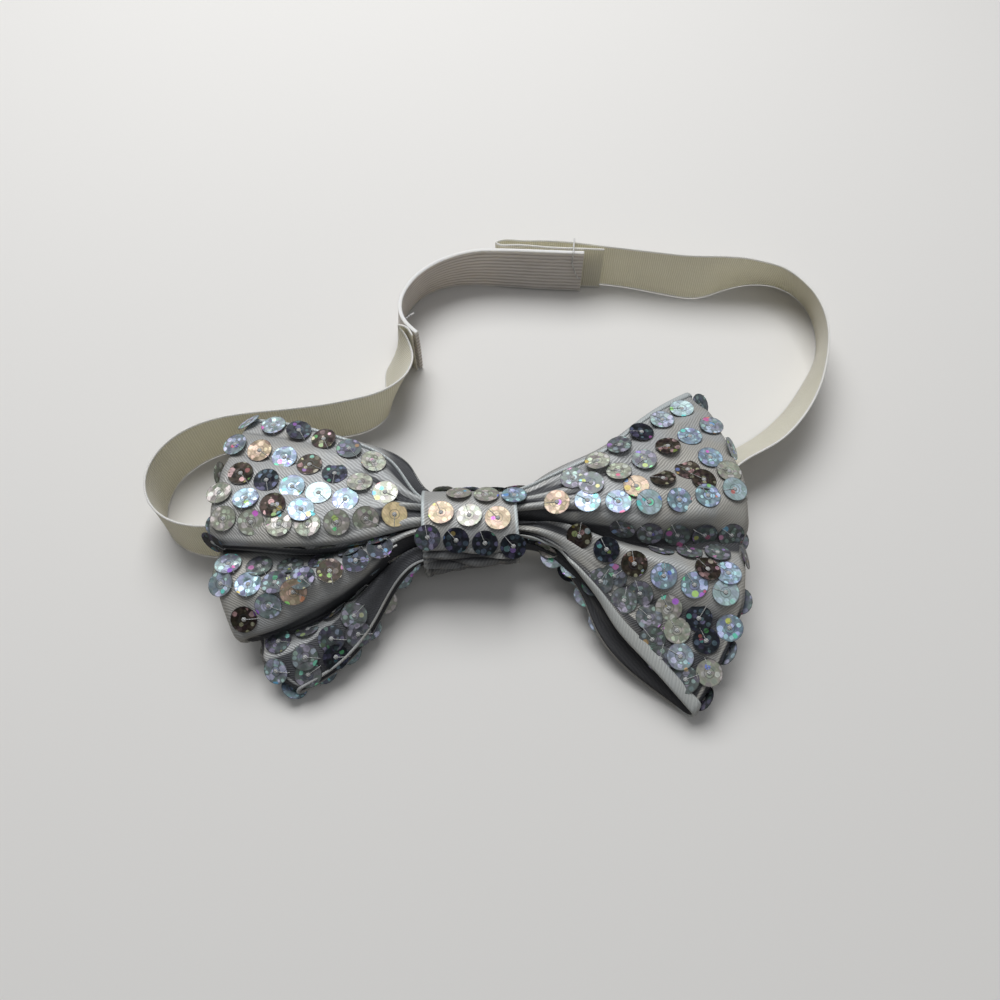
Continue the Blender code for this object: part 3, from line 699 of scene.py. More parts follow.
@dataclass(frozen=True)
class Foil:
    """Holographic foil of the sequins: round blobs of random tilt, whose random brightness and pastel
    colour are painted glints and rainbow reflections.

    Attributes:
        name: The material's name.
        cell: Distance between blobs.
        line: Colour of the thin rings at the rim and round the hole.
        ring: Place of the ring round the hole, as a share of the radius.
        tilt: How far the blobs' normals lean.
    """

    name: str = "sequin_foil"
    cell: float = 1.3
    line: Colour = (0.07, 0.07, 0.075)
    ring: float = 0.37
    tilt: float = 0.2

    def make(self, effects: Effects) -> Material:
        """Builds the material on Object coordinates and the sequins' own disc map and tone."""
        material, net, shader = new_material(self.name)
        place = net.object_place()
        tone = net.add("Attribute", {"attribute_name": TONE})
        strength = tone.outputs["Alpha"]
        cells = net.add("TexVoronoi", {"feature": "F1"}, Vector=place, Scale=1 / (self.cell * MM),
                        Randomness=0.8)
        red, green, blue = net.add("SeparateColor", i0=cells.outputs["Color"]).outputs[:3]
        fine = net.noise(place, 0.9 / MM)

        # Each blob's brightness, as painted glints
        reach = net.math("ADD", cells.outputs["Distance"], net.ramp(green, 0.0, 1.0, 0.08, -0.12))
        blob = net.ramp(reach, 0.42, 0.52, 1.0, 0.0)
        light = net.math("ADD", 0.62, net.times(blob, net.ramp(red, 0.1, 0.95, -0.1, 1.5)))
        light = net.times(light, net.ramp(fine, 0.3, 0.7, 0.75, 1.25))
        grey = net.scaled(tone.outputs["Color"], net.math("POWER", light, strength))

        # Pastel blobs, and rare vivid ones on the paler sequins, as painted rainbow reflections
        hue = net.ramp(green, 0.1, 0.9, 0.42, 0.74)
        pastel = net.add("CombineColor", {"mode": "HSV"}, i0=hue, i1=0.30, i2=1.0).outputs[0]
        tinted = net.times(net.math("MINIMUM", strength, 1.0), net.ramp(blob, 0.0, 1.0, 0.4, 0.9))
        base = net.mix(tinted, grey, pastel, "MULTIPLY")
        hue = net.math("FRACT", net.times(red, 7.3))
        vivid = net.add("CombineColor", {"mode": "HSV"}, i0=hue, i1=0.78, i2=0.9).outputs[0]
        pale = net.ramp(net.add("SeparateColor", i0=tone.outputs["Color"]).outputs[1], 0.1, 0.55, 0.3, 1.0)
        chance = net.times(net.times(net.ramp(blue, 0.90, 0.93), pale), blob)
        base = net.mix(net.times(chance, 0.9), base, vivid)

        # The cloth faintly through the foil, and the rings at the rim and round the hole
        twill = net.group(effects.twill, Place_Vector=net.scaled(place, 1 / MM), Pitch=0.6, Slant=0.8)
        through = net.times(net.math("SUBTRACT", 1.0, twill.outputs["Line"]),
                           net.ramp(strength, 0.3, 0.9, 0.14, 0.05))
        radius = net.vector("LENGTH", net.cloth_place()).node.outputs["Value"]
        off_ring = net.math("ABSOLUTE", net.math("SUBTRACT", radius, self.ring))
        dark = net.math("MAXIMUM", net.times(net.ramp(radius, 0.92, 0.98), 0.65),
                        net.times(net.ramp(off_ring, 0.015, 0.05, 1.0, 0.0), 0.55))
        base = net.mix(net.math("MAXIMUM", dark, through), base, self.line)

        lean = net.scaled(net.vector("SUBTRACT", cells.outputs["Color"], (0.5, 0.5, 0.5)), self.tilt)
        normal = net.vector("NORMALIZE", net.vector("ADD", net.add("NewGeometry").outputs["Normal"], lean))
        net.feed_all(shader, Base_Color=base, Metallic=0.35, Roughness=net.ramp(fine, 0.3, 0.7, 0.28, 0.45),
                     Specular_IOR_Level=net.times(pale, 0.35),
                     Coat_Weight=net.times(pale, 0.12), Coat_Roughness=0.15, Normal=normal)
        return material


@dataclass(frozen=True)
class Ribbon:
    """Woven ribbon with ribs and paler selvedges.

    Attributes:
        name: The material's name.
        rib: Colour of the ribs.
        gap: Colour between them.
        edge: Colour of the selvedges.
        pitch: Distance between ribs.
        half_width: From the middle to the selvedge.
        lengthwise: Whether the ribs run along it.
        shade_scale: Fineness of its uneven shade.
    """

    name: str
    rib: Colour
    gap: Colour
    edge: Colour
    pitch: float = 0.62
    half_width: float = 7.1
    lengthwise: bool = False
    shade_scale: float = 45.0

    def make(self, effects: Effects) -> Material:
        """Builds the material on the ribbon's UV map: u along it, v across from its middle."""
        material, net, shader = new_material(self.name)
        place = net.cloth_place()
        along, level = net.add("SeparateXYZ", i0=place).outputs[:2]
        ribbed = net.add("CombineXYZ", i0=level, i1=along).outputs[0] if self.lengthwise else place
        ribs = net.group(effects.ribs, Place_Vector=ribbed, Pitch=self.pitch)
        line = ribs.outputs["Line"]
        spot = net.object_place()
        shade = net.group(effects.soiling, Place_Vector=spot, Scale=self.shade_scale).outputs[0]
        base = net.mix(line, self.gap, self.rib)
        base = net.mix(net.ramp(shade, 0.35, 0.75, 0.0, 0.3), base, self.gap)
        edge = net.ramp(net.math("ABSOLUTE", level), self.half_width - 0.35, self.half_width)
        net.feed_all(shader, Base_Color=net.mix(edge, base, self.edge),
                     Roughness=net.ramp(line, 0.0, 1.0, 0.75, 0.5), Sheen_Weight=0.3, Subsurface_Weight=0.7,
                     Subsurface_Radius=(1.0, 0.98, 0.90), Subsurface_Scale=1.2 * MM,
                     Normal=net.bump(ribs.outputs["Height"], 0.6, 0.12))
        return material


@dataclass(frozen=True)
class Thread:
    """Twisted sewing thread.

    Attributes:
        name: The material's name.
        light: Colour of a strand.
        dark: Colour between strands.
        pitch: Length of one turn of the twist.
    """

    name: str
    light: Colour
    dark: Colour
    pitch: float = 0.5

    def make(self, effects: Effects) -> Material:
        """Builds the material on Object coordinates, so it suits threads of any make."""
        material, net, shader = new_material(self.name)
        place = net.scaled(net.object_place(), 1 / MM)
        twist = net.group(effects.twill, Place_Vector=place, Pitch=self.pitch, Slant=0.6)
        line = twist.outputs["Line"]
        net.feed_all(shader, Base_Color=net.mix(line, self.dark, self.light),
                     Roughness=net.ramp(line, 0.0, 1.0, 0.8, 0.6), Sheen_Weight=0.3,
                     Normal=net.bump(twist.outputs["Height"], 0.6, 0.08))
        return material


class Finishes:
    """Every material of the bow, made once."""

    def __init__(self) -> None:
        """Makes the shared effects and the materials."""
        effects = Effects()
        self.satin = Satin().make(effects)
        self.foil = Foil().make(effects)
        self.ribbon = Ribbon("cream_ribbon", rib=(0.90, 0.865, 0.71), gap=(0.70, 0.66, 0.50),
                             edge=(0.95, 0.93, 0.86)).make(effects)
        self.elastic = Ribbon("white_elastic", rib=(0.90, 0.87, 0.84), gap=(0.50, 0.45, 0.42),
                              edge=(0.94, 0.93, 0.90), pitch=1.25, lengthwise=True).make(effects)
        self.thread = Thread("white_thread", (0.86, 0.86, 0.84), (0.52, 0.52, 0.52)).make(effects)
        self.clear_thread = Thread("pale_thread", (0.62, 0.63, 0.62), (0.30, 0.31, 0.32),
                                   pitch=0.35).make(effects)


# ---- Sequins ----

@dataclass(frozen=True)
class SequinStock:
    """The flat sequins that the cloth is sewn with, all of one size.

    Attributes:
        radius: Of the disc.
        hole: Radius of the sewing hole.
        thickness: Of the disc at its rim.
        pitch: Distance from one to the next in a row.
        sides: Corners of the disc's outline.
        lift: Height of its middle over the cloth's middle.
        thread: Radius of the sewing thread.
        knot: (radius, height) of each ring of the thread's knot, from the disc's underside up.
    """

    radius: float = 3.0
    hole: float = 0.55
    thickness: float = 0.13
    pitch: float = 6.9
    sides: int = 18
    lift: float = 0.55
    thread: float = 0.075
    knot: tuple[tuple[float, float], ...] = ((0.62, -0.10), (0.50, 0.12), (0.20, 0.20))

    def disc(self) -> Shape:
        """One sequin about its own middle: a top, a rim and a bottom that meet at the hole."""
        outline = circle(self.sides)
        up = np.array([0.0, 0.0, self.thickness / 2])
        rim = outline * self.radius
        points = np.concatenate([outline * self.hole, rim + up, rim - up])
        faces = np.concatenate([self.band(0, 1), self.band(1, 2), self.band(2, 0)])
        return Shape(points, [faces], (points[:, :2] / self.radius)[faces.reshape(-1)])

    def band(self, inner: int, outer: int) -> Array:
        """Quads between two of the disc's rings, facing out."""
        i = np.arange(self.sides)
        j = (i + 1) % self.sides
        a, b = inner * self.sides, outer * self.sides
        return np.stack([a + i, b + i, b + j, a + j], -1)

    def stitch(self) -> Shape:
        """The thread that holds one sequin: a knot in the hole and a bar out to the rim."""
        outline = circle(6)
        rings = np.array([outline * radius + np.array([0.0, 0.0, height]) for radius, height in self.knot])
        knot = swept_shape(rings, np.zeros((len(rings), len(outline) + 1, 2)))
        bar = tube_shape(np.array([[0.2, 0.0, 0.14], [1.4, 0.0, 0.12], [self.radius + 0.1, 0.0, 0.09],
                                   [self.radius + 0.3, 0.0, -0.3]]), self.thread, sides=4)
        return joined([knot, bar])


@dataclass
class SequinField:
    """Sequins sewn onto one piece of cloth.

    Attributes:
        stock: What is sewn on.
        seed: Of the small random tilts and turns.
        places, normals, directions, tones: One entry for each sequin.
        tilt: Spread of the normals' random tilt.
        turn: Mean and spread of the angle from the row to the sewing thread, in radians.
        slack: Least and greatest random lift.
    """

    stock: SequinStock
    seed: int
    places: list[Array] = field(default_factory=list)
    normals: list[Array] = field(default_factory=list)
    directions: list[Array] = field(default_factory=list)
    tones: list[Tone] = field(default_factory=list)
    tilt: float = 0.055
    turn: tuple[float, float] = (2.3, 0.5)
    slack: tuple[float, float] = (-0.08, 0.18)

    def sew(self, place: Array, normal: Array, direction: Array, tone: Tone) -> None:
        """Adds one sequin.

        Args:
            place: On the cloth's middle surface.
            normal: Out of the cloth.
            direction: Along the row.
            tone: Its foil.
        """
        self.places.append(place)
        self.normals.append(normal)
        self.directions.append(direction)
        self.tones.append(tone)

    def frames(self) -> tuple[Array, Array]:
        """Middle of each sequin and its axes as rotation matrices, with a small random tilt.

        Returns:
            Places, shape (n, 3), and matrices, shape (n, 3, 3), whose last column is the normal.
        """
        random = np.random.default_rng(self.seed)
        normal = unit(np.array(self.normals))
        count = len(normal)
        normal = unit(normal + random.normal(0, self.tilt, (count, 3)))
        along = np.array(self.directions)
        along = unit(along - normal * np.sum(along * normal, axis=1, keepdims=True))
        third = np.cross(normal, along)
        turn = random.normal(*self.turn, count)[:, None]
        first = along * np.cos(turn) + third * np.sin(turn)
        second = np.cross(normal, first)
        lift = self.stock.lift + random.uniform(*self.slack, count)[:, None]
        return np.array(self.places) + normal * lift, np.stack([first, second, normal], axis=2)

    def repeat(self, shape: Shape) -> Shape:
        """One copy of a shape at each sequin, as one mesh."""
        places, axes = self.frames()
        count, size = len(places), len(shape.points)
        points = np.einsum("nij,pj->npi", axes, shape.points) + places[:, None]
        offsets = np.arange(count)[:, None, None] * size
        faces = [(f[None] + offsets).reshape(-1, f.shape[1]) for f in shape.faces]
        ends = np.cumsum([f.size for f in shape.faces])[:-1]
        uv = [np.tile(part, (count, 1)) for part in np.split(shape.uv, ends)]
        return Shape(points.reshape(-1, 3), faces, np.concatenate(uv))

    def discs(self, name: str, material: Material) -> Thing:
        """All the sequins as one object, each with its tone."""
        shape = self.repeat(self.stock.disc())
        colours = np.array([(*tone.value[0], tone.value[1]) for tone in self.tones])
        shape.marks[TONE] = np.repeat(colours, len(shape.points) // len(colours), axis=0)
        return build_object(name, shape, material, sharp=40.0)

    def stitches(self, name: str, material: Material) -> Thing:
        """All the sewing threads as one object."""
        return build_object(name, self.repeat(self.stock.stitch()), material)


TONE_LETTERS = {
    "c": Tone.CLEAR, "w": Tone.WHITE, "s": Tone.SILVER, "i": Tone.ICE, "p": Tone.PEACH,
    "g": Tone.GOLD, "d": Tone.DIM, "m": Tone.SMOKE, "b": Tone.BROWN, "n": Tone.NIGHT,
}
COMMON_TONES = "cccsssswimmn"


# ---- The bow's loops ----

@dataclass(frozen=True)
class Fold:
    """One fold line of a loop, from inside the knot to the outer turn.

    Attributes:
        front: Points of the front layer, x measured outwards from the bow's middle.
        drop: How far the back layer lies under the front at the knot, half way and the turn.
        back: Points of the back layer, where it isn't simply under the front one.
        soft: 0 for a pressed crease, 1 for a round fold.
        puff: How far the panel towards the next fold bows out.
    """

    front: tuple[Point, ...]
    drop: Point = (4.8, 4.2, 3.2)
    back: tuple[Point, ...] | None = None
    soft: float = 1.0
    puff: float = 0.0

    def front_line(self, shares: Array) -> Array:
        """The fold line on the front layer."""
        return smooth_line(np.array(self.front), shares)

    def back_line(self, shares: Array) -> Array:
        """The fold line on the back layer, from the knot outwards."""
        if self.back is not None:
            return smooth_line(np.array(self.back), shares)
        drop = spline(np.array([0.0, 0.5, 1.0]), np.array(self.drop)[:, None], shares)
        return self.front_line(shares) - drop * np.array([0.0, 0.0, 1.0])


@dataclass(frozen=True)
class Row:
    """A row of sequins along a loop.

    Attributes:
        across: Its place across the loop at the knot, counted in folds.
        end: Its place across the loop at the outer turn.
        first: Distance of its first sequin from the knot's side.
        pitch: Distance from one sequin to the next.
        tones: Tone letters of its first sequins, with - for a missing one; the others take
            common tones.
        front_only: Whether it stops at the outer turn.
        level: How far its sequins are turned from the cloth's slope to lie level, 0 to 1.
    """

    across: float
    end: float
    first: float
    pitch: float
    tones: str
    front_only: bool = False
    level: float = 0.0


@dataclass
class Loop:
    """One loop of the bow: a front layer, an outer turn and a back layer of satin.

    Attributes:
        side: -1 for the left loop, 1 for the right one.
        folds: The fold lines from the top edge to the bottom edge.
        rows: The rows of sequins.
        stock: The sequins.
        body: The imported model's node that its cloth replaces, named as a body in its report.
        seed: Of its wrinkles and sequins.
        front_steps, turn_steps, back_steps: Grid steps along each part.
        fold_steps: Grid steps across, from fold to fold.
        thickness: Of the cloth.
        wrinkle: Height of each of its soft wrinkles.
        hem_widths: Greatest width of the hem along the top edge and along the bottom edge.
        low_shade: How much painted shade darkens the lowest folds against the rest, 0 to 1.
        knot_side: Distance from the bow's middle at which the rows of sequins start.
        back_mouth: Distance from the bow's middle at which they stop on the back layer.
        lift_reach: Distances from the bow's middle at which the loop begins to bend when it is
            lifted, and at which it has bent.
        lift_height: Height of its hinge.
    """

    side: int
    folds: tuple[Fold, ...]
    rows: tuple[Row, ...]
    stock: SequinStock
    body: str
    seed: int
    front_steps: int = 72
    turn_steps: int = 10
    back_steps: int = 52
    fold_steps: int = 10
    thickness: float = 0.5
    wrinkle: float = 0.085
    hem_widths: tuple[float, float] = (1.0, 0.8)
    low_shade: float = 0.8
    knot_side: float = 11.0
    back_mouth: float = 14.0
    lift_reach: tuple[float, float] = (6.0, 16.0)
    lift_height: float = 12.7

    def __post_init__(self) -> None:
        """Works out the cloth's middle surface: fold lines, bowed panels, gathers and wrinkles."""
        panels = len(self.folds) - 1
        self.across = np.linspace(0, panels, panels * self.fold_steps + 1)
        plain = np.einsum("cf,rfx->rcx", self.cross_weights(), self.fold_lines())
        self.gathers = self.gather_heights(plain)
        self.grid = plain + self.outward(plain) * self.relief(plain)[..., None]
        self.normals = self.outward(self.grid)

    def cross_weights(self) -> Array:
        """Share of each fold line at each grid column.

        The cross-section is the straight line from fold to fold, with a parabola in place of
        each corner: as long as the fold is soft.

        Returns:
            Shape (columns, folds).
        """
        count, place = len(self.folds), self.across
        low = np.clip(place.astype(int), 0, count - 2)
        share = place - low
        weights = np.zeros((len(place), count))
        column = np.arange(len(place))
        weights[column, low] = 1 - share
        weights[column, low + 1] += share
        for i in range(1, count - 1):
            soft = max(self.folds[i].soft, 0.05)
            inside = np.abs(place - i) < soft / 2
            p = (place[inside] - (i - soft / 2)) / soft
            near = np.zeros((inside.sum(), count))
            near[:, i - 1] = (1 - p) ** 2 * soft / 2
            near[:, i + 1] = p ** 2 * soft / 2
            near[:, i] = 1 - near[:, i - 1] - near[:, i + 1]
            weights[inside] = near
        return weights

    def fold_lines(self) -> Array:
        """Every fold line in full: front, half circle round the outer turn, and back.

        Returns:
            Shape (rows, folds, 3), with x to the loop's own side.
        """
        shares = np.linspace(0, 1, self.front_steps)
        back_shares = np.linspace(1, 0, self.back_steps)
        angle = np.linspace(0, math.pi, self.turn_steps + 1)[1:-1, None]
        lines = []
        for fold in self.folds:
            front = fold.front_line(shares)
            back = fold.back_line(back_shares)
            middle, half = (front[-1] + back[0]) / 2, (front[-1] - back[0]) / 2
            outward = unit((front[-1] - front[-4]) * np.array([1.0, 1.0, 0.0]))
            turn = middle + half * np.cos(angle) + outward * np.linalg.norm(half) * np.sin(angle)
            lines.append(np.concatenate([front, turn, back]))
        return np.stack(lines, axis=1) * np.array([self.side, 1.0, 1.0])

    def gather_heights(self, plain: Array) -> Array:
        """Height of the gathers at the knot.

        Two sines across the cloth, one of them twice as fine, that fade out with distance from
        the knot's side.

        Args:
            plain: The surface without relief.

        Returns:
            Height along the outward normal, shape (rows, columns).
        """
        near = np.exp(-((np.abs(plain[..., 0]) - 9.0) / 10.0) ** 2)
        return near * (0.62 * np.sin(math.pi * (self.across + self.side * 0.35))
                       + 0.26 * np.sin(2 * math.pi * (self.across + 0.25)))

    def relief(self, plain: Array) -> Array:
        """Height of the bowed panels, of the gathers and of soft wrinkles.

        A panel bows out as a parabola between its folds.  The wrinkles are a few long slanting
        sines with random phase.

        Args:
            plain: The surface without relief.

        Returns:
            Height along the outward normal, shape (rows, columns).
        """
        random = np.random.default_rng(self.seed)
        away = np.abs(plain[..., 0])
        panel = np.clip(self.across.astype(int), 0, len(self.folds) - 2)
        puff = np.array([fold.puff for fold in self.folds])[panel]
        share = self.across % 1.0
        bow = puff * 4 * share * (1 - share) * smoothstep(12, 34, away)
        wrinkles = np.zeros_like(away)
        for _ in range(7):
            reach = random.uniform(0.25, 1.1)
            slant = random.uniform(-0.05, 0.05)
            phase = random.uniform(0, 2 * math.pi)
            wrinkles += np.sin(2 * math.pi * (reach * self.across + slant * away) + phase)
        return bow + self.gathers + self.wrinkle * wrinkles * smoothstep(4, 12, away)

    def outward(self, grid: Array) -> Array:
        """Normals that point out of the loop: up on the front, down on the back."""
        normals = grid_normals(grid)
        middle = normals[self.front_steps // 2, :, 2].mean()
        return normals if middle > 0 else -normals

    def painted_light_and_shade(self) -> Array:
        """Painted light and shade: at most 0.45 of painted highlight on an outward crease, and below 0
        as painted shade in a valley.

        The surface's bend against its normal, less painted shade where it lies under the highest fold
        within reach on either side, in the hollows of the gathers, on the lowest folds and on the back
        layer inside them.
        """
        grid, step, count = self.grid, 2, len(self.folds)
        rows = np.arange(len(grid))[:, None]
        before, after = grid[:, :-2 * step], grid[:, 2 * step:]
        rise = np.sum((grid[:, step:-step] - (after + before) / 2) * self.normals[:, step:-step], axis=-1)
        chord = np.maximum(np.linalg.norm(after - before, axis=-1), 0.3)
        bend = np.zeros(grid.shape[:2])
        bend[:, step:-step] = np.clip(rise / chord * 5.5, -1, 0.45)
        height = grid[..., 2]
        reach = range(-self.fold_steps, self.fold_steps + 1, 2)
        ridge = np.max([np.roll(height, shift, axis=1) for shift in reach], axis=0)
        front = (self.normals[..., 2] > -0.6) * (rows < self.front_steps)
        ridge_shade = smoothstep(1.2, 5.5, ridge - height) * front
        gather_shade = smoothstep(34.0, 14.0, np.abs(grid[..., 0])) * smoothstep(0.12, -0.22, self.gathers)
        low = smoothstep(count - 3.4, count - 1.6, self.across) * self.low_shade * front
        inner = smoothstep(count - 5.0, count - 2.5, self.across) * (rows > self.front_steps)
        # bend paints highlight on creases and shade in valleys; low and inner are painted shade on the
        # lowest folds and on the back layer.
        return bend - 0.9 * ridge_shade - 1.5 * gather_shade - low - 1.1 * inner

    def flat(self) -> tuple[tuple[float, float], float]:
        """The cloth as it is modelled, laid flat.

        It is widest at the outer turn and narrow at the knot, so its area is stated as well.

        Returns:
            Greatest width and mean length in metres, and area in square metres.
        """
        grid = self.grid * MM
        width = lengths(grid, axis=1)[:, -1].max()
        length = lengths(grid)[-1].mean()
        one, other = grid[1:, 1:] - grid[:-1, :-1], grid[1:, :-1] - grid[:-1, 1:]
        area = np.linalg.norm(np.cross(one, other), axis=-1).sum() / 2
        return (float(width), float(length)), float(area)

    def cloth_uv(self) -> Array:
        """Place on the flat cloth: length along it, and width measured from its middle fold."""
        across = lengths(self.grid, axis=1)
        middle = across.shape[1] // 2
        return grid_uv(lengths(self.grid).mean(axis=1), across - across[:, [middle]])

    def make_cloth(self, name: str, material: Material) -> Thing:
        """The satin of the loop."""
        shape = sheet_shape(self.grid, self.cloth_uv(), {PAINTED_LIGHT_MARK: self.painted_light_and_shade()})
        return build_cloth(name, shape, material, self.thickness)

    def make_hems(self, name: str, material: Material) -> Thing:
        """The folded hems along both edges.

        Each is a flat band with round sides carried along the edge column.  It is narrow where
        the cloth gathers, and half as wide on the back layer.

        Args:
            name: The object's name.
            material: The satin.

        Returns:
            Both hems as one object.
        """
        least, half_height = 0.3, 0.47
        ring_x, ring_y, _ = circle(12).T[:, None, :, None]
        ring_x = np.sign(ring_x) * np.abs(ring_x) ** 0.6
        sides = ring_x.size
        back = np.arange(len(self.grid)) > self.front_steps + self.turn_steps
        shapes = []
        edges = ((0, 3, self.hem_widths[0], 0.0), (-1, -4, self.hem_widths[1], self.low_shade))
        for column, inner, widest, shade in edges:
            rim, normal = self.grid[:, column], self.normals[:, column]
            half = least + (widest / 2 - least) * smoothstep(14, 40, np.abs(rim[:, 0]))
            half = (half * np.where(back, 0.5, 1.0))[:, None]
            edge = unit(rim - self.grid[:, inner])
            path = rim - edge * (half - 0.35) + normal * 0.4
            ring = edge[:, None] * ring_x * half[:, None] + normal[:, None] * ring_y * half_height
            uv = grid_uv(lengths(path), np.linspace(0, 5.0, sides + 1))
            shape = swept_shape(path[:, None] + ring, uv)
            # Painted highlight on the front hems, less the lowest folds' painted shade, and painted shade
            # on the back layer.
            shape.marks[PAINTED_LIGHT_MARK] = np.repeat(np.where(back, -0.35, 0.72 - shade), sides)
            shapes.append(shape)
        return build_object(name, joined(shapes), material)

    def sequins(self) -> SequinField:
        """Sews the rows: equal steps along each row, from the knot round to the back."""
        sewn = SequinField(self.stock, self.seed)
        random = np.random.default_rng(self.seed + 100)
        columns, turn = len(self.across), self.front_steps
        every = np.arange(len(self.grid))
        for row in self.rows:
            share = np.clip(every / (turn - 1), 0, 1)
            column = (row.across + (row.end - row.across) * share) / (len(self.folds) - 1) * (columns - 1)
            low = np.minimum(column.astype(int), columns - 2)
            part = (column - low)[:, None]
            line, normal = (surface[every, low] * (1 - part) + surface[every, low + 1] * part
                            for surface in (self.grid, self.normals))
            normal = unit(normal)
            away, length = np.abs(line[:, 0]), lengths(line)
            start = np.interp(self.knot_side, away[:turn], length[:turn]) + row.first
            stop = np.interp(-self.back_mouth, -away[turn:], length[turn:])
            if row.front_only:
                stop = length[turn - 1] + 2.0
            for number, distance in enumerate(np.arange(start, stop, row.pitch)):
                letter = row.tones[number] if number < len(row.tones) else random.choice(list(COMMON_TONES))
                if letter == "-":
                    continue
                facing = unit(read_line(normal, length, distance))
                if facing[2] > 0:
                    facing = unit(facing + np.array([0.0, 0.0, row.level]))
                place = read_line(line, length, distance) + facing * 1.2 * row.level
                ahead = read_line(line, length, distance + 0.5)
                sewn.sew(place, facing, ahead - place, TONE_LETTERS[letter])
        return sewn

    def lift_ends(self) -> tuple[Point, Point]:
        """Where the loop begins to bend and where it has bent, as it is lifted."""
        start, end = self.lift_reach
        return (self.side * start, 0.0, self.lift_height), (self.side * end, 0.0, self.lift_height)

    def make(self, prefix: str, finishes: Finishes) -> list[Thing]:
        """Makes the loop's pieces.

        Args:
            prefix: Start of the pieces' names.
            finishes: The materials.

        Returns:
            Cloth, hems, sequins and sequin threads.
        """
        sewn = self.sequins()
        return [
            self.make_cloth(f"{prefix}_loop_cloth", finishes.satin),
            self.make_hems(f"{prefix}_loop_hems", finishes.satin),
            sewn.discs(f"{prefix}_loop_sequins", finishes.foil),
            sewn.stitches(f"{prefix}_loop_sequin_threads", finishes.clear_thread),
        ]


LEFT_FOLDS = (
    Fold(((5, 5.2, 15.8), (11.3, 6.1, 16.5), (18.1, 14.4, 17.3), (30.5, 21.2, 18.3), (42, 25.3, 18.3),
          (53.0, 28.0, 16.8)),
         back=((5, 7.0, 13.0), (11.3, 10.6, 14.2), (15, 16.4, 14.6), (20, 20.5, 14.6), (28, 24.0, 14.0),
               (38.4, 27.0, 14.0), (53.0, 28.2, 13.6))),
    Fold(((5, 4.4, 16.6), (11.3, 5.0, 17.5), (20.5, 10.5, 19.0), (33.5, 17.8, 19.7), (54.8, 23.8, 18.6)),
         puff=0.4),
    Fold(((5, 3.4, 17.0), (11.3, 3.9, 17.9), (20, 6.8, 19.4), (31, 10.6, 20.4), (56, 16.5, 19.9)),
         puff=0.3),
    Fold(((5, 2.4, 17.0), (11.3, 2.9, 18.0), (22, 2.6, 20.0), (34.2, 4.6, 20.8), (56.5, 9.0, 20.7)),
         puff=0.3),
    Fold(((5, 1.2, 17.0), (11.3, 1.5, 18.0), (17, 0.7, 19.5), (29.3, -2.3, 20.8), (42, -3.4, 21.1),
          (57, -1.4, 20.7))),
    Fold(((5, -0.6, 15.6), (11.3, -0.5, 17.2), (20.2, -3.9, 17.8), (28.4, -6.4, 18.6), (37.5, -7.4, 19.0),
          (46.5, -7.0, 19.0), (56.5, -5.8, 18.6)), soft=0.5),
    Fold(((5, -0.2, 12.2), (11.3, -0.2, 11.5), (22, -1.2, 11.4), (36, -3.0, 10.6), (56.5, -4.6, 13.0)),
         drop=(3.0, 3.0, 2.4), soft=0.6),
    Fold(((5, -1.9, 15.2), (11.3, -2.2, 16.6), (24, -9.2, 17.0), (37.8, -14.6, 17.2), (54.8, -14.2, 16.2)),
         soft=0.8, puff=0.5),
    Fold(((5, -2.6, 14.2), (11.3, -2.9, 15.0), (24, -12.2, 13.9), (37.7, -20.8, 11.8), (45.3, -24.4, 10.7),
          (49.8, -25.4, 10.2)), soft=0.35),
    Fold(((5, -3.2, 11.2), (11.3, -3.6, 9.8), (23, -11.6, 7.6), (34, -19.0, 6.2), (45.7, -23.6, 7.0)),
         drop=(3.0, 2.6, 2.2), soft=0.5),
    Fold(((5, -4.2, 12.6), (11.3, -4.4, 13.6), (22.1, -12.3, 11.4), (29.5, -20.5, 9.6), (38.1, -27.2, 8.2),
          (44.5, -29.6, 7.2)), drop=(4.4, 3.6, 2.6), soft=0.5, puff=0.3),
    Fold(((5, -6.2, 10.8), (11.3, -6.9, 11.2), (19.3, -16.2, 8.7), (22.5, -22.2, 7.2), (29.6, -30.3, 5.6),
          (36.5, -34.6, 4.4)), drop=(3.4, 3.2, 2.6)),
)

LEFT_ROWS = (
    Row(0.9, 0.3, 15.2, 6.9, "cmbnssg", level=0.4),
    Row(2.35, 1.7, 9.0, 6.48, "ccnbips"),
    Row(3.25, 2.7, 17.5, 6.45, "iwinb"),
    Row(3.85, 3.4, 27.4, 6.6, "ibi"),
    Row(4.0, 4.05, 6.4, 6.43, "gcccccc"),
    Row(5.1, 5.1, 47.5, 6.9, "n"),
    Row(6.6, 6.6, 10.1, 6.9, "ddmdds"),
    Row(7.1, 7.05, 10.4, 6.1, "nnbmmi"),
    Row(6.32, 7.76, 32.1, 6.2, "psb", front_only=True),
    Row(9.45, 9.45, 17.9, 6.9, "dmdm"),
    Row(10.35, 10.35, 21.8, 6.9, "dmds"),
    Row(10.8, 10.8, 22.9, 6.9, "dndi"),
)

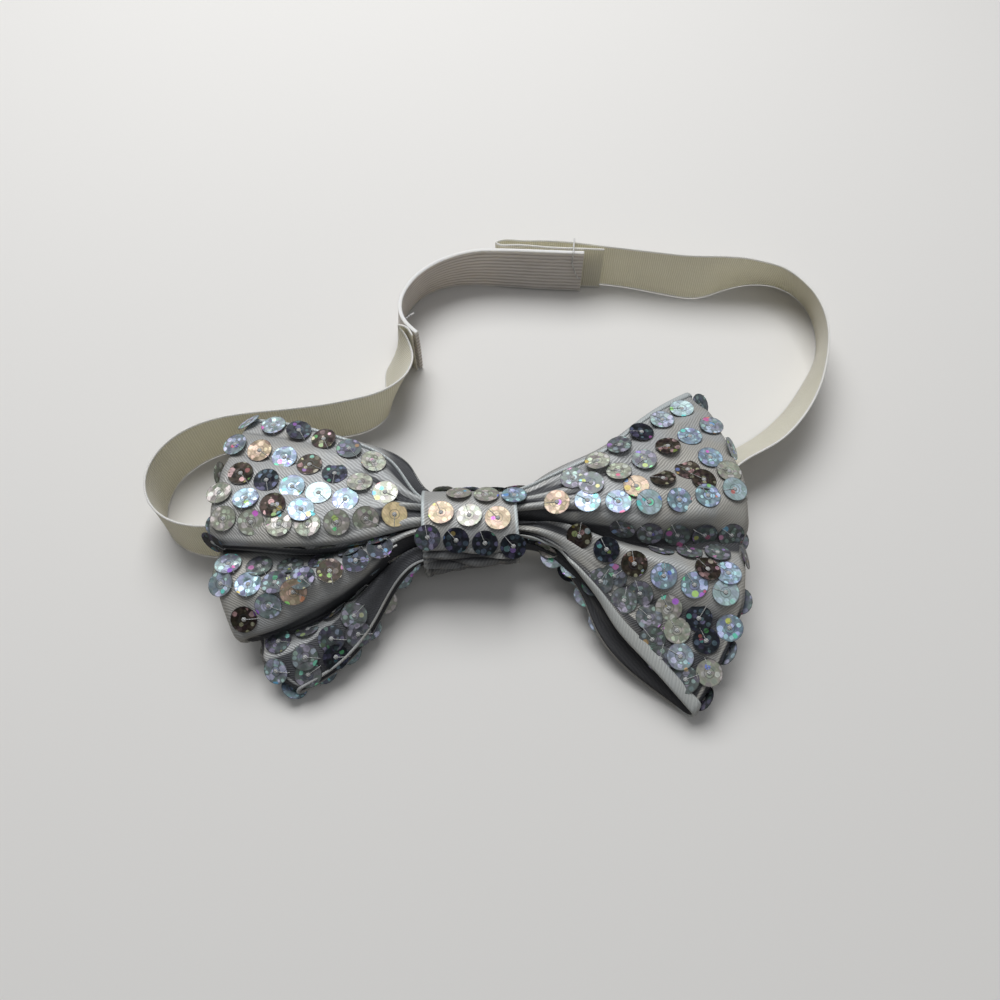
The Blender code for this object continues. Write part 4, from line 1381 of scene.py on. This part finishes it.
RIGHT_FOLDS = (
    Fold(((5, 6.0, 15.6), (11.3, 7.2, 16.3), (17.7, 10.6, 17.0), (24.9, 14.4, 17.5), (32.3, 18.8, 18.0),
          (39.4, 25.4, 17.9), (45.7, 31.2, 16.6), (54.6, 38.2, 14.0)),
         back=((5, 7.4, 12.6), (11.3, 9.5, 13.8), (17.7, 14.2, 14.0), (24.9, 18.1, 14.5),
               (32.3, 22.0, 14.6), (39.4, 27.6, 14.4), (45.0, 33.0, 12.8), (54.6, 38.4, 10.8))),
    Fold(((5, 5.0, 16.6), (11.3, 6.0, 17.5), (24.5, 10.6, 19.0), (35, 18.6, 19.2), (57.6, 32.6, 15.8)),
         puff=0.4),
    Fold(((5, 4.2, 17.0), (11.3, 5.0, 17.9), (24, 7.0, 19.9), (39.6, 14.8, 20.0), (59.6, 26.4, 17.2)),
         puff=0.3),
    Fold(((5, 3.6, 17.2), (11.3, 4.2, 18.0), (24, 5.0, 20.2), (43.8, 9.1, 20.8), (61.2, 17.6, 19.0)),
         puff=0.2),
    Fold(((5, 2.8, 17.0), (11.3, 3.4, 18.0), (20.3, 3.4, 20.0), (27.2, 3.1, 20.9), (40.3, 2.3, 21.4),
          (54.4, 3.8, 21.1), (62.6, 6.2, 20.2))),
    Fold(((5, 1.4, 15.8), (11.3, 2.0, 16.4), (24.2, 0.9, 18.4), (35.6, -0.9, 19.0), (45.2, -1.5, 19.3),
          (55.1, -0.6, 19.3), (62.6, 1.2, 18.6)), soft=0.5),
    Fold(((5, 1.0, 12.8), (11.3, 0.9, 12.0), (24, -1.2, 12.0), (36, -3.0, 12.0), (50, -3.8, 12.6),
          (62, -4.0, 13.6)),
         drop=(3.2, 3.2, 2.6), soft=0.6),
    Fold(((5, 0.2, 14.8), (11.3, 0.6, 15.6), (21.3, -0.2, 16.5), (30.8, -4.2, 17.1), (39.8, -9.0, 17.4),
          (51.4, -13.0, 17.2), (59.8, -14.8, 16.2)), soft=0.35),
    Fold(((5, -0.2, 13.6), (11.3, -0.2, 14.2), (24, -5.8, 14.4), (38, -15.5, 12.8), (58.4, -22.4, 12.4)),
         puff=-0.4),
    Fold(((5, -0.8, 13.0), (11.3, -1.0, 13.4), (25, -9.4, 13.2), (37, -21.5, 11.2), (54.4, -29.8, 9.4)),
         drop=(4.4, 4.0, 3.4)),
    Fold(((5, -1.4, 12.4), (11.3, -1.6, 12.8), (20.4, -4.2, 13.3), (25.2, -10.8, 12.8), (28.8, -16.0, 12.0),
          (32.8, -23.0, 10.5), (38.3, -29.2, 8.5), (43.7, -34.9, 6.6), (48.1, -39.6, 4.8)),
         back=((5, -2.4, 8.6), (11.3, -2.6, 9.2), (18.3, -4.6, 9.0), (23.2, -9.6, 8.2), (26.4, -14.9, 7.0),
               (28.7, -21.3, 6.0), (34.1, -28.9, 4.0), (43.2, -36.3, 2.4), (47.2, -39.2, 1.6))),
)

RIGHT_ROWS = (
    Row(1.7, 0.6, 13.9, 7.35, "dcdnsw", level=0.7),
    Row(2.6, 1.95, 17.5, 7.3, "dcdbi", level=0.3),
    Row(3.6, 2.9, 27.8, 6.9, "pbbi"),
    Row(3.5, 3.5, 44.0, 6.9, "b", front_only=True),
    Row(4.0, 4.0, 9.2, 6.9, "piiwiiw"),
    Row(4.9, 5.72, 24.5, 6.3, "dddddd"),
    Row(6.6, 6.33, 27.4, 6.3, "-dddd"),
    Row(6.85, 6.85, 44.4, 4.7, "bi", front_only=True),
    Row(7.35, 7.35, 15.0, 6.9, "bnbiiw"),
    Row(7.9, 8.2, 25.1, 6.9, "ddcni"),
    Row(8.75, 8.68, 23.1, 6.6, "dddcns"),
    Row(9.3, 9.3, 19.0, 7.0, "---dsc"),
    Row(9.65, 9.65, 30.0, 7.0, "--ddm"),
)


# ---- The knot ----

@dataclass
class Knot:
    """The strip of satin wrapped round the middle, with its sequins.

    Attributes:
        stock: The sequins.
        length: Of the wrap along X.
        depth: Of the wrap along Y.
        middle_y: Of the wrap.
        top: Height of its front.
        thickness: Of the folded strip.
        front_radius, back_radius: Of the middle line's turns.
        gap: Between the two layers of the lap.
        lap: Length of the lap.
        lap_end: Where the outer end stops, along Y.
        skew: How far the wrap slants along X for each millimetre of Y.
        tuck: How far its foot is drawn in under the near side, at the left end and at the right.
        steps, columns: Grid points round the wrap and along X.
        crinkle_depth: Height of the crushed cloth where crinkles() gives 1.
        crinkle_seed, sequin_seed: Of its crinkles, and of its sequins' tilts.
        row_pitch: Distance between its sequins, as a share of the sequins' usual pitch.
        row_slant: How far a row of sequins climbs towards the far side for each millimetre of X.
        rows: (distance from the front's middle, first x, tones) of each row of sequins.
    """

    stock: SequinStock
    length: float = 22.0
    depth: float = 18.2
    middle_y: float = 1.0
    top: float = 19.4
    thickness: float = 1.0
    front_radius: float = 7.0
    back_radius: float = 5.0
    gap: float = 0.3
    lap: float = 5.0
    lap_end: float = 4.5
    skew: float = -0.06
    tuck: tuple[float, float] = (1.6, 6.6)
    steps: int = 200
    columns: int = 49
    crinkle_depth: float = 0.36
    crinkle_seed: int = 11
    sequin_seed: int = 31
    row_pitch: float = 0.93
    row_slant: float = -0.10
    rows: tuple[tuple[float, float, str], ...] = (
        (-5.7, -9.2, "mnnn"), (0.1, -6.4, "pcp"), (6.0, -2.6, "cci"), (12.2, -6.4, "csmc"),
        (18.2, -9.6, "mcsm"))

    def __post_init__(self) -> None:
        """Works out the strip's middle surface and its normals."""
        self.line = self.outline(self.steps)
        self.across = np.linspace(-1, 1, self.columns)
        self.crinkle = self.crinkles(lengths(self.line)[:, None], self.across)
        self.grid, self.normals = self.surface()

    def outline(self, count: int) -> Array:
        """Middle line of the strip in the YZ plane, from its inner end to its outer end."""
        half = self.thickness / 2
        far = self.middle_y + self.depth / 2 - half
        near = self.middle_y - self.depth / 2 + half
        inner = half + self.thickness + self.gap
        top = self.top - half
        corners = [(self.lap_end - self.lap, inner, 0), (far, inner, self.back_radius),
                   (far, top, self.front_radius), (near, top, self.front_radius),
                   (near, half, self.back_radius), (self.lap_end, half, 0)]
        return even_steps(rounded_outline(corners, 16), count)

    def crinkles(self, distance: Array, across: Array) -> Array:
        """Crinkles of crushed cloth: sines along the wrap whose phase wanders across it.

        Args:
            distance: Along the wrap.
            across: From -1 to 1 along X.

        Returns:
            Heights of about -3 to 3.
        """
        random = np.random.default_rng(self.crinkle_seed)
        crinkle = 0.0
        for _ in range(5):
            pitch = random.uniform(1.4, 3.6)
            lean = random.uniform(-0.9, 0.9)
            phase = random.uniform(0, 2 * math.pi)
            wander = 1.6 * np.sin(3.1 * across + phase)
            crinkle = crinkle + np.sin(2 * math.pi * distance / pitch + wander + lean * across * 3)
        return crinkle

    def surface(self) -> tuple[Array, Array]:
        """Grid of the strip's middle surface, crinkled low on its near side and proud at its hems.

        Returns:
            Points and outward normals, shape (around, along X, 3).
        """
        tangent = unit(np.gradient(self.line, axis=0))
        normal = np.stack([tangent[:, 1], -tangent[:, 0]], -1)
        if normal[np.argmax(self.line[:, 1]), 1] < 0:
            normal = -normal
        across, (y, z) = self.across, self.line.T[..., None]
        crushed = smoothstep(16.5, 14.0, z) * smoothstep(1.0, 3.0, z) * (y < self.middle_y)
        hem = 0.28 * smoothstep(0.86, 0.93, np.abs(across)) * (z > 2.5)
        pinch = -0.25 * (1 - across ** 2) * smoothstep(10, 17, z)
        height = self.crinkle_depth * (self.crinkle * crushed) + hem + pinch
        rise = normal[:, None] * height[..., None]
        x = np.broadcast_to(across * self.length / 2, height.shape)
        grid = np.stack([x, y + rise[..., 0], z + rise[..., 1]], -1)
        share = (across + 1) / 2
        foot = smoothstep(9.5 + 5.0 * share, 1.5, z) * smoothstep(self.middle_y, self.middle_y - 5.0, y)
        wave = 0.35 * np.sin(9.0 * across + 0.7)
        shoulder = smoothstep(1.0, 8.0, y - self.middle_y) * smoothstep(self.top - 8, self.top - 1, z)
        grid[..., 2] -= 1.3 * shoulder * across ** 2
        grid[..., 1] += foot * (self.tuck[0] + (self.tuck[1] - self.tuck[0]) * share + wave)
        grid[..., 0] += self.skew * (grid[..., 1] - self.middle_y)
        normals = np.column_stack([np.zeros(len(normal)), normal])
        return grid, np.broadcast_to(normals[:, None], grid.shape)

    def flat(self) -> tuple[float, float]:
        """Width, and mean length with its crinkles, of the strip laid flat, in metres."""
        return self.length * MM, float(lengths(self.grid)[-1].mean()) * MM

    def painted_light_and_shade(self) -> Array:
        """Painted light and shade: 0.9 of painted highlight on the hems and 1.1 on the pressed foot, and
        below 0 as painted shade in the shadow of the near side, darkest in the crinkles' hollows.
        """
        y, z = self.grid[..., 1], self.grid[..., 2]
        near = y < self.middle_y
        edge = smoothstep(0.90, 0.96, np.abs(self.across))
        shadow = smoothstep(16.8, 13.8, z) * near
        foot = smoothstep(1.7, 1.2, z) * smoothstep(0.2, 0.5, z) * near
        # Painted shade on the near side, darkest in the crinkles' hollows.
        dark = 0.20 * np.clip(self.crinkle, -2.0, 1.6) - 0.90
        return np.maximum(0.9 * edge * (1 - 0.6 * shadow), 1.1 * foot) + shadow * (1 - foot) * dark

    def make_cloth(self, material: Material) -> Thing:
        """The wrapped satin."""
        uv = grid_uv(lengths(self.grid).mean(axis=1), self.grid[..., 0])
        shape = sheet_shape(self.grid, uv, {PAINTED_LIGHT_MARK: self.painted_light_and_shade()})
        return build_cloth("knot_cloth", shape, material, self.thickness - 0.1)

    def sequins(self) -> SequinField:
        """Sews the rows across the wrap."""
        line = self.grid[:, self.columns // 2]
        length = lengths(line)
        top = int(np.argmin(np.abs(line[:, 1]) + (line[:, 2] < self.top - 2) * 100))
        towards_far = -1.0 if line[min(top + 5, len(line) - 1), 1] < line[top, 1] else 1.0
        sewn = SequinField(self.stock, self.sequin_seed)
        for distance, first, tones in self.rows:
            where = length[top] + towards_far * distance
            middle = np.argmin(np.abs(length - where))
            for number, letter in enumerate(tones):
                x = first + number * self.stock.pitch * self.row_pitch
                row = np.argmin(np.abs(length - (where + towards_far * self.row_slant * x)))
                column = np.argmin(np.abs(self.grid[row, :, 0] - x))
                place = self.grid[row, column] + self.normals[middle, column] * self.thickness * 0.35
                sewn.sew(place, self.normals[row, column], np.array([1.0, 0.0, 0.0]), TONE_LETTERS[letter])
        return sewn

    def make(self, finishes: Finishes) -> list[Thing]:
        """Makes the knot's cloth, sequins and threads."""
        sewn = self.sequins()
        return [self.make_cloth(finishes.satin), sewn.discs("knot_sequins", finishes.foil),
                sewn.stitches("knot_sequin_threads", finishes.clear_thread)]

    def make_waist(self, material: Material) -> Thing:
        """The gathered cloth inside the wrap: a pleated bundle, drawn in at its middle."""
        sections, sides, pleats = 41, 96, 12
        half_y, half_z, middle_z = 5.2, 4.7, 12.7
        x = np.linspace(-self.length / 2 + 1.0, self.length / 2 - 1.0, sections)
        angle = np.linspace(0, 2 * math.pi, sides, endpoint=False)
        bound = (1 - 0.22 * np.exp(-(x / 2.6) ** 4))[:, None]
        ripple = 1 + 0.10 * np.cos(pleats * angle)
        y = self.middle_y + half_y * bound * (np.cos(angle) * ripple)
        z = middle_z + half_z * bound * (np.sin(angle) * ripple)
        rings = np.stack([np.broadcast_to(x[:, None], y.shape), y, z], -1)
        shape = swept_shape(rings, grid_uv(x, np.linspace(0, 34.0, sides + 1)))
        # Painted highlight on the pleats' crests and painted shade between them.
        shape.marks[PAINTED_LIGHT_MARK] = np.tile(np.cos(pleats * angle) * 0.5, sections)
        return build_object("gathered_waist", shape, material)


# ---- The head band ----

@dataclass(frozen=True)
class Station:
    """A cross-section of the band: its middle in plan, lean, width and lowest point."""

    x: float
    y: float
    lean: float = 0.0
    width: float = 15.0
    lowest: float = 0.0


@dataclass
class Strap:
    """A woven strip that stands on its edge, leans or lies flat.

    Attributes:
        stations: Its route.
        inside: 1 where the band's loop is on the left of travel, -1 on the right.
        outline: Closed outline of its section: (across as a share of half the width, thickness).
        step: Distance between sections.
        cup: How far its middle stands out from its edges.
    """

    stations: tuple[Station, ...]
    inside: int
    outline: Array
    step: float = 1.0
    cup: float = 0.0

    def sections(self) -> tuple[Array, Array, Array, Array]:
        """Middle, half-width vector, face normal and length at each section.

        Returns:
            Shapes (n, 3), (n, 3), (n, 3) and (n,).
        """
        table = np.array([(s.x, s.y, s.lean, s.width, s.lowest) for s in self.stations])
        knots = lengths(table[:, :2])
        wanted = np.linspace(0, knots[-1], max(8, int(knots[-1] / self.step)))
        plan = spline(knots, table[:, :2], wanted)
        lean, width, lowest = (self.level(knots, table[:, i], wanted) for i in (2, 3, 4))
        tangent = unit(np.gradient(plan, axis=0))
        inward = np.stack([-tangent[:, 1], tangent[:, 0]], -1) * self.inside
        angle = np.radians(lean)
        sine, cosine = np.sin(angle), np.cos(angle)
        across = np.column_stack([inward * sine[:, None], cosine])
        face = np.column_stack([inward * cosine[:, None], -sine])
        rise = lowest + (width * np.abs(cosine)) / 2 + 0.15
        return np.column_stack([plan, rise]), across * width[:, None] / 2, face, wanted

    @staticmethod
    def level(knots: Array, values: Array, wanted: Array) -> Array:
        """Values carried from knot to knot by an S-shaped step, so they never overshoot."""
        span = np.clip(np.searchsorted(knots, wanted, side="right") - 1, 0, len(knots) - 2)
        slopes = np.gradient(values, knots)
        width = knots[span + 1] - knots[span]
        share = (wanted - knots[span]) / width
        square, cube = share ** 2, share ** 3
        start = (2 * cube - 3 * square + 1) * values[span]
        start = start + (cube - 2 * square + share) * width * slopes[span]
        end = (3 * square - 2 * cube) * values[span + 1] + (cube - square) * width * slopes[span + 1]
        return start + end

    def flat(self) -> tuple[float, float]:
        """Width and length of the strip laid flat, in metres."""
        return max(s.width for s in self.stations) * MM, float(self.sections()[3][-1]) * MM

    def shape(self) -> Shape:
        """The strip as a solid: its outline carried along the route."""
        middle, half, face, along = self.sections()
        share, thick = self.outline[:, 0], self.outline[:, 1]
        bulge = self.cup * (1 - share ** 2)
        rings = (middle[:, None] + half[:, None] * share[None, :, None]
                 + face[:, None] * (thick + bulge)[None, :, None])
        v = np.append(share, share[0]) * np.linalg.norm(half, axis=1)[:, None]
        return swept_shape(rings, grid_uv(along, v))


def ribbon_outline(thickness: float = 0.34, bead: float = 0.27) -> Array:
    """Section of the ribbon: flat faces between two round selvedges.

    Args:
        thickness: Of the flat part.
        bead: Radius of the selvedges.

    Returns:
        Closed outline, shape (n, 2).
    """
    half = 7.5
    inner = (half - 1.6 * bead) / half
    angle = np.linspace(-0.72 * math.pi, 0.72 * math.pi, 8)
    centre = half - bead
    right = np.stack([(centre + bead * np.cos(angle)) / half, bead * np.sin(angle)], -1)
    flat = np.linspace(inner * 0.9, -inner * 0.9, 5)
    top = np.stack([flat, np.full(len(flat), thickness / 2)], -1)
    return np.concatenate([right, top, -right, -top])


def elastic_outline(ribs: int = 12, core: float = 0.42, rib: float = 0.16) -> Array:
    """Section of the elastic: lengthwise ribs on both faces, a cosine without its sign.

    Args:
        ribs: Number of ribs on a face.
        core: Half the thickness between ribs.
        rib: Height of a rib.

    Returns:
        Closed outline, shape (n, 2).
    """
    across = np.linspace(1, -1, ribs * 5 + 1)
    height = core + rib * np.abs(np.cos(across * math.pi * ribs / 2))
    height[[0, -1]] = core * 0.5
    top = np.stack([across, height], -1)
    return np.concatenate([top, -top])


PINCHED = dict(lean=58.0, width=7.5, lowest=2.6)
LEFT_RIBBON = (
    Station(0.0, 4.4, **PINCHED), Station(-7.0, 4.4, **PINCHED), Station(-13.0, 4.4, **PINCHED),
    Station(-22.0, 3.4, 46.0, 10.5, 1.8), Station(-30.0, 2.2, 30.0, 13.5, 0.6),
    Station(-38.0, 1.2, 12.0), Station(-44.0, 0.7, 2.0), Station(-48.0, 0.6), Station(-54.0, 0.1, 2.0),
    Station(-60.0, -0.5, 3.0), Station(-66.0, -0.2, 3.0), Station(-72.0, 2.0, 3.0),
    Station(-76.8, 7.0, 2.0), Station(-78.6, 13.6), Station(-76.5, 22.0), Station(-70.5, 28.0),
    Station(-62.0, 31.4), Station(-50.0, 33.2), Station(-38.0, 35.0), Station(-31.0, 36.6, -1.0),
    Station(-25.6, 39.2, 5.0), Station(-22.2, 42.8, 14.0), Station(-20.8, 47.5, 27.0),
    Station(-21.2, 54.5, 36.0), Station(-21.9, 60.2, 22.0), Station(-21.2, 62.4, 4.0),
    Station(-19.8, 62.0), Station(-16.8, 58.4),
)
ELASTIC_ROUTE = (
    Station(31.6, 90.4), Station(20.0, 91.0), Station(8.0, 91.8, 2.0), Station(0.0, 92.0, 5.0),
    Station(-8.0, 90.6, 12.0), Station(-15.0, 86.6, 15.0), Station(-20.0, 79.5, 12.0),
    Station(-21.8, 71.0, 7.0), Station(-19.8, 64.2, 2.0), Station(-15.6, 59.4),
)
RIGHT_RIBBON = (
    Station(37.6, 91.6), Station(31.0, 92.0), Station(20.0, 92.7), Station(10.0, 93.5), Station(6.4, 93.9),
    Station(5.7, 94.6), Station(6.6, 95.3), Station(12.0, 95.6), Station(20.0, 95.4), Station(30.0, 94.4),
    Station(38.0, 93.0), Station(46.0, 91.6), Station(58.0, 89.0, -5.0), Station(67.0, 88.0, -8.0),
    Station(76.0, 89.4, 7.0), Station(85.5, 90.0, 22.0), Station(92.0, 88.2, 27.0),
    Station(96.4, 82.8, 26.0), Station(98.6, 74.0, 18.0), Station(97.8, 63.0, 7.0),
    Station(93.8, 52.5, -7.0),
    Station(88.6, 43.0, -19.0), Station(82.0, 34.8, -29.0), Station(74.8, 28.8, -35.0),
    Station(65.6, 23.0, -34.0), Station(59.6, 16.0, -25.0),
    Station(54.0, 9.4, -15.0), Station(48.0, 4.6, -5.0), Station(42.0, 2.8), Station(38.0, 2.9, 2.0),
    Station(33.0, 3.0, 10.0), Station(27.0, 3.6, 28.0, 13.5, 0.6), Station(20.0, 4.0, 46.0, 10.5, 1.8),
    Station(13.0, 4.4, **PINCHED), Station(7.0, 4.4, **PINCHED), Station(0.4, 4.4, **PINCHED),
)


@dataclass
class HeadBand:
    """Ribbon and elastic.

    Attributes:
        left, right: The runs of ribbon, each from inside the knot to its seam.
        elastic: The elastic.
        exits: Where the left run and the right run leave the bow, along X.
        swing_y, swing_z: Place of the line that the band swings about.
        twist: How far the ribbon twists as the band swings, along X and along Y, each side of
            where it leaves the bow.
    """

    left: Strap = field(default_factory=lambda: Strap(LEFT_RIBBON, -1, ribbon_outline(), cup=0.12))
    right: Strap = field(default_factory=lambda: Strap(RIGHT_RIBBON, -1, ribbon_outline(), cup=0.12))
    elastic: Strap = field(default_factory=lambda: Strap(ELASTIC_ROUTE, 1, elastic_outline(), cup=0.1))
    exits: tuple[float, float] = (-48.0, 42.0)
    swing_y: float = 1.7
    swing_z: float = 7.5
    twist: float = 6.0

    def swing_ends(self, side: int) -> tuple[Point, Point]:
        """Where a run of ribbon begins to bend and where it has bent, as the band swings.

        The way from one to the other slants in X and Y, so that the band's far side, which comes
        back over the bow in X, counts as past its end.

        Args:
            side: -1 for the left run, 1 for the right one.

        Returns:
            The two places.
        """
        exit_x = self.exits[0] if side < 0 else self.exits[1]
        return ((exit_x - side * self.twist, self.swing_y - self.twist, self.swing_z),
                (exit_x + side * self.twist, self.swing_y + self.twist, self.swing_z))

    def make(self, finishes: Finishes) -> list[Thing]:
        """Makes the left ribbon, the right ribbon and the elastic."""
        return [build_object("left_ribbon", self.left.shape(), finishes.ribbon),
                build_object("right_ribbon", self.right.shape(), finishes.ribbon),
                build_object("elastic_band", self.elastic.shape(), finishes.elastic)]


# ---- Studio ----

@dataclass(frozen=True)
class Studio:
    """Floor, soft lamps, world and camera.

    Attributes:
        eye: The camera's place.
        pitch: How far the camera looks down from level, in degrees.
        lens: Focal length, on a sensor 36 wide.
        floor: Colour of the floor.
        bounce: Its colour as it lights the bow.
        lamps: Name, place, side and power in watts of each soft lamp.
        aim: Where the lamps look.
    """

    eye: Point = (7.0, -82.1, 168.9)
    pitch: float = 60.0
    lens: float = 27.04
    floor: Colour = (0.82, 0.81, 0.79)
    bounce: Colour = (0.40, 0.37, 0.33)
    lamps: tuple[tuple[str, Point, float, float], ...] = (
        ("window", (-90.0, 410.0, 640.0), 520.0, 4.8), ("room", (250.0, -420.0, 600.0), 700.0, 0.4))
    aim: Point = (5.0, 20.0, 0.0)

    def make_floor(self) -> None:
        """A plain pale floor just under the bow."""
        half, level = 2500.0, -0.15
        points = np.array([(x * half, y * half, level) for x, y in ((-1, -1), (1, -1), (1, 1), (-1, 1))])
        material, net, shader = new_material("pale_floor")
        seen = net.add("LightPath").outputs["Is Camera Ray"]
        net.feed_all(shader, Base_Color=net.mix(seen, self.bounce, self.floor), Roughness=0.9,
                     Specular_IOR_Level=0.1)
        plane = build_object("floor", Shape(points, [np.array([[0, 1, 2, 3]])]), material)

    def make_lamp(self, name: str, place: Point, size: float, power: float) -> None:
        """A square soft lamp that looks at the bow.

        Args:
            name: The lamp's name.
            place: Its middle.
            size: Its side.
            power: In watts.
        """
        light = bpy.data.lights.new(name, "AREA")
        light.shape = "SQUARE"
        light.size = size * MM
        light.energy = power
        lamp = place_object(name, light)
        lamp.location = np.array(place) * MM
        x, y, z = unit(np.array(place) - np.array(self.aim))
        lamp.rotation_euler = (math.acos(z), 0.0, math.atan2(x, -y))

    def make_world(self) -> None:
        """A grey sky, about three times as bright overhead as at the horizon."""
        world = bpy.data.worlds.new("sky")
        world.use_nodes = True
        net = Net(world.node_tree)
        back = world.node_tree.nodes["Background"]
        up = net.add("SeparateXYZ", i0=net.add("TexCoord").outputs["Generated"]).outputs[2]
        sky = net.mix(net.ramp(up, -0.1, 0.9), (0.30, 0.29, 0.28), (0.95, 0.97, 1.0))
        net.feed_all(back, Color=sky, Strength=0.2)
        bpy.context.scene.world = world

    def make_camera(self) -> None:
        """The camera, above and in front of the bow."""
        data = bpy.data.cameras.new("camera")
        data.lens = self.lens
        data.sensor_width = 36.0
        data.clip_start = 0.005
        camera = place_object("camera", data)
        camera.location = np.array(self.eye) * MM
        camera.rotation_euler = (math.radians(90.0 - self.pitch), 0.0, 0.0)
        bpy.context.scene.camera = camera

    def make(self) -> None:
        """Sets the whole studio up."""
        bpy.context.scene.view_settings.view_transform = "Standard"
        self.make_camera()
        self.make_floor()
        for name, place, size, power in self.lamps:
            self.make_lamp(name, place, size, power)
        self.make_world()


# ---- Assembly ----

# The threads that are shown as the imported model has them.
CAD_THREADS = ("gather_thread", "wrap_stitch", "left_loose_thread", "left_seam_thread", "right_lap_thread")


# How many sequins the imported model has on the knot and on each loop.
CAD_SEQUINS = {"knot": 7, "left": 18, "right": 20}


def sequin_nodes(part: str) -> list[str]:
    """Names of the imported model's sequins on the knot, the left loop or the right loop."""
    return [f"{part}_sequin_{number:02d}" for number in range(1, CAD_SEQUINS[part] + 1)]


def label(thing: Thing, slot: str, replaced: list[str], way: str) -> None:
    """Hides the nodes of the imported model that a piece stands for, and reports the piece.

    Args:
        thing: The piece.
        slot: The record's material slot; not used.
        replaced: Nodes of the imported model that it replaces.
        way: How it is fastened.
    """
    if replaced:
        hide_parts(*replaced)
    LOG.info("%s %s: %d faces", thing.name, way, len(thing.data.polygons))


def mount(thing: Thing, body: str, slot: str, replaced: list[str] | None = None) -> None:
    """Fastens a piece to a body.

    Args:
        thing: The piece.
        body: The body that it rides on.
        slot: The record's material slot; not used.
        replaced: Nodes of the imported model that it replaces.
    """
    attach(thing, body)
    label(thing, slot, replaced or [], f"rides on {body}")


def bend(thing: Thing, bodies: tuple[str, str], ends: tuple[Point, Point], slot: str,
         replaced: list[str] | None = None) -> None:
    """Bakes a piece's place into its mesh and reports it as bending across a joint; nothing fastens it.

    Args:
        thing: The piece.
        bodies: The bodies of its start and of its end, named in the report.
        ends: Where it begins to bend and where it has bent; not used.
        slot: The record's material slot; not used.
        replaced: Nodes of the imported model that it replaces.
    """
    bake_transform(thing)
    label(thing, slot, replaced or [], f"bends from {bodies[0]} to {bodies[1]}")


def main() -> None:
    """Builds the bow on its frame."""
    logging.basicConfig(level=logging.INFO, format="%(message)s")
    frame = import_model()
    Studio().make()
    finishes = Finishes()
    stock = SequinStock()

    knot = Knot(stock)
    cloth, sequins, threads = knot.make(finishes)
    mount(cloth, "knot", "satin", ["knot_wrap"])
    mount(sequins, "knot", "sequin_foil", sequin_nodes("knot"))
    mount(threads, "knot", "thread")
    knot.flat()
    mount(knot.make_waist(finishes.satin), "knot", "satin", ["waist_pleats"])

    left = Loop(-1, LEFT_FOLDS, LEFT_ROWS, stock, "left_wing", seed=3)
    right = Loop(1, RIGHT_FOLDS, RIGHT_ROWS, stock, "right_wing", seed=5, hem_widths=(1.7, 3.2),
                 low_shade=0.12)
    for loop, name in ((left, "left"), (right, "right")):
        cloth, hems, sequins, threads = loop.make(name, finishes)
        bodies, ends = ("knot", loop.body), loop.lift_ends()
        bend(cloth, bodies, ends, "satin", [loop.body])
        bend(hems, bodies, ends, "satin")
        bend(sequins, bodies, ends, "sequin_foil", sequin_nodes(name))
        bend(threads, bodies, ends, "thread")
        flat, area = loop.flat()

    band = HeadBand()
    left_ribbon, right_ribbon, elastic = band.make(finishes)
    for ribbon, side, strap, nodes in ((left_ribbon, -1, band.left, ["ribbon_left", "ribbon_middle"]),
                                       (right_ribbon, 1, band.right, ["ribbon_right"])):
        bend(ribbon, ("knot", "band"), band.swing_ends(side), "ribbon", nodes)
        strap.flat()
    mount(elastic, "band", "elastic", ["elastic"])
    band.elastic.flat()

    for name in CAD_THREADS:
        node = frame["nodes"][name]
        node.data.materials.clear()
        node.data.materials.append(finishes.thread)


if __name__ == "__main__":
    main()
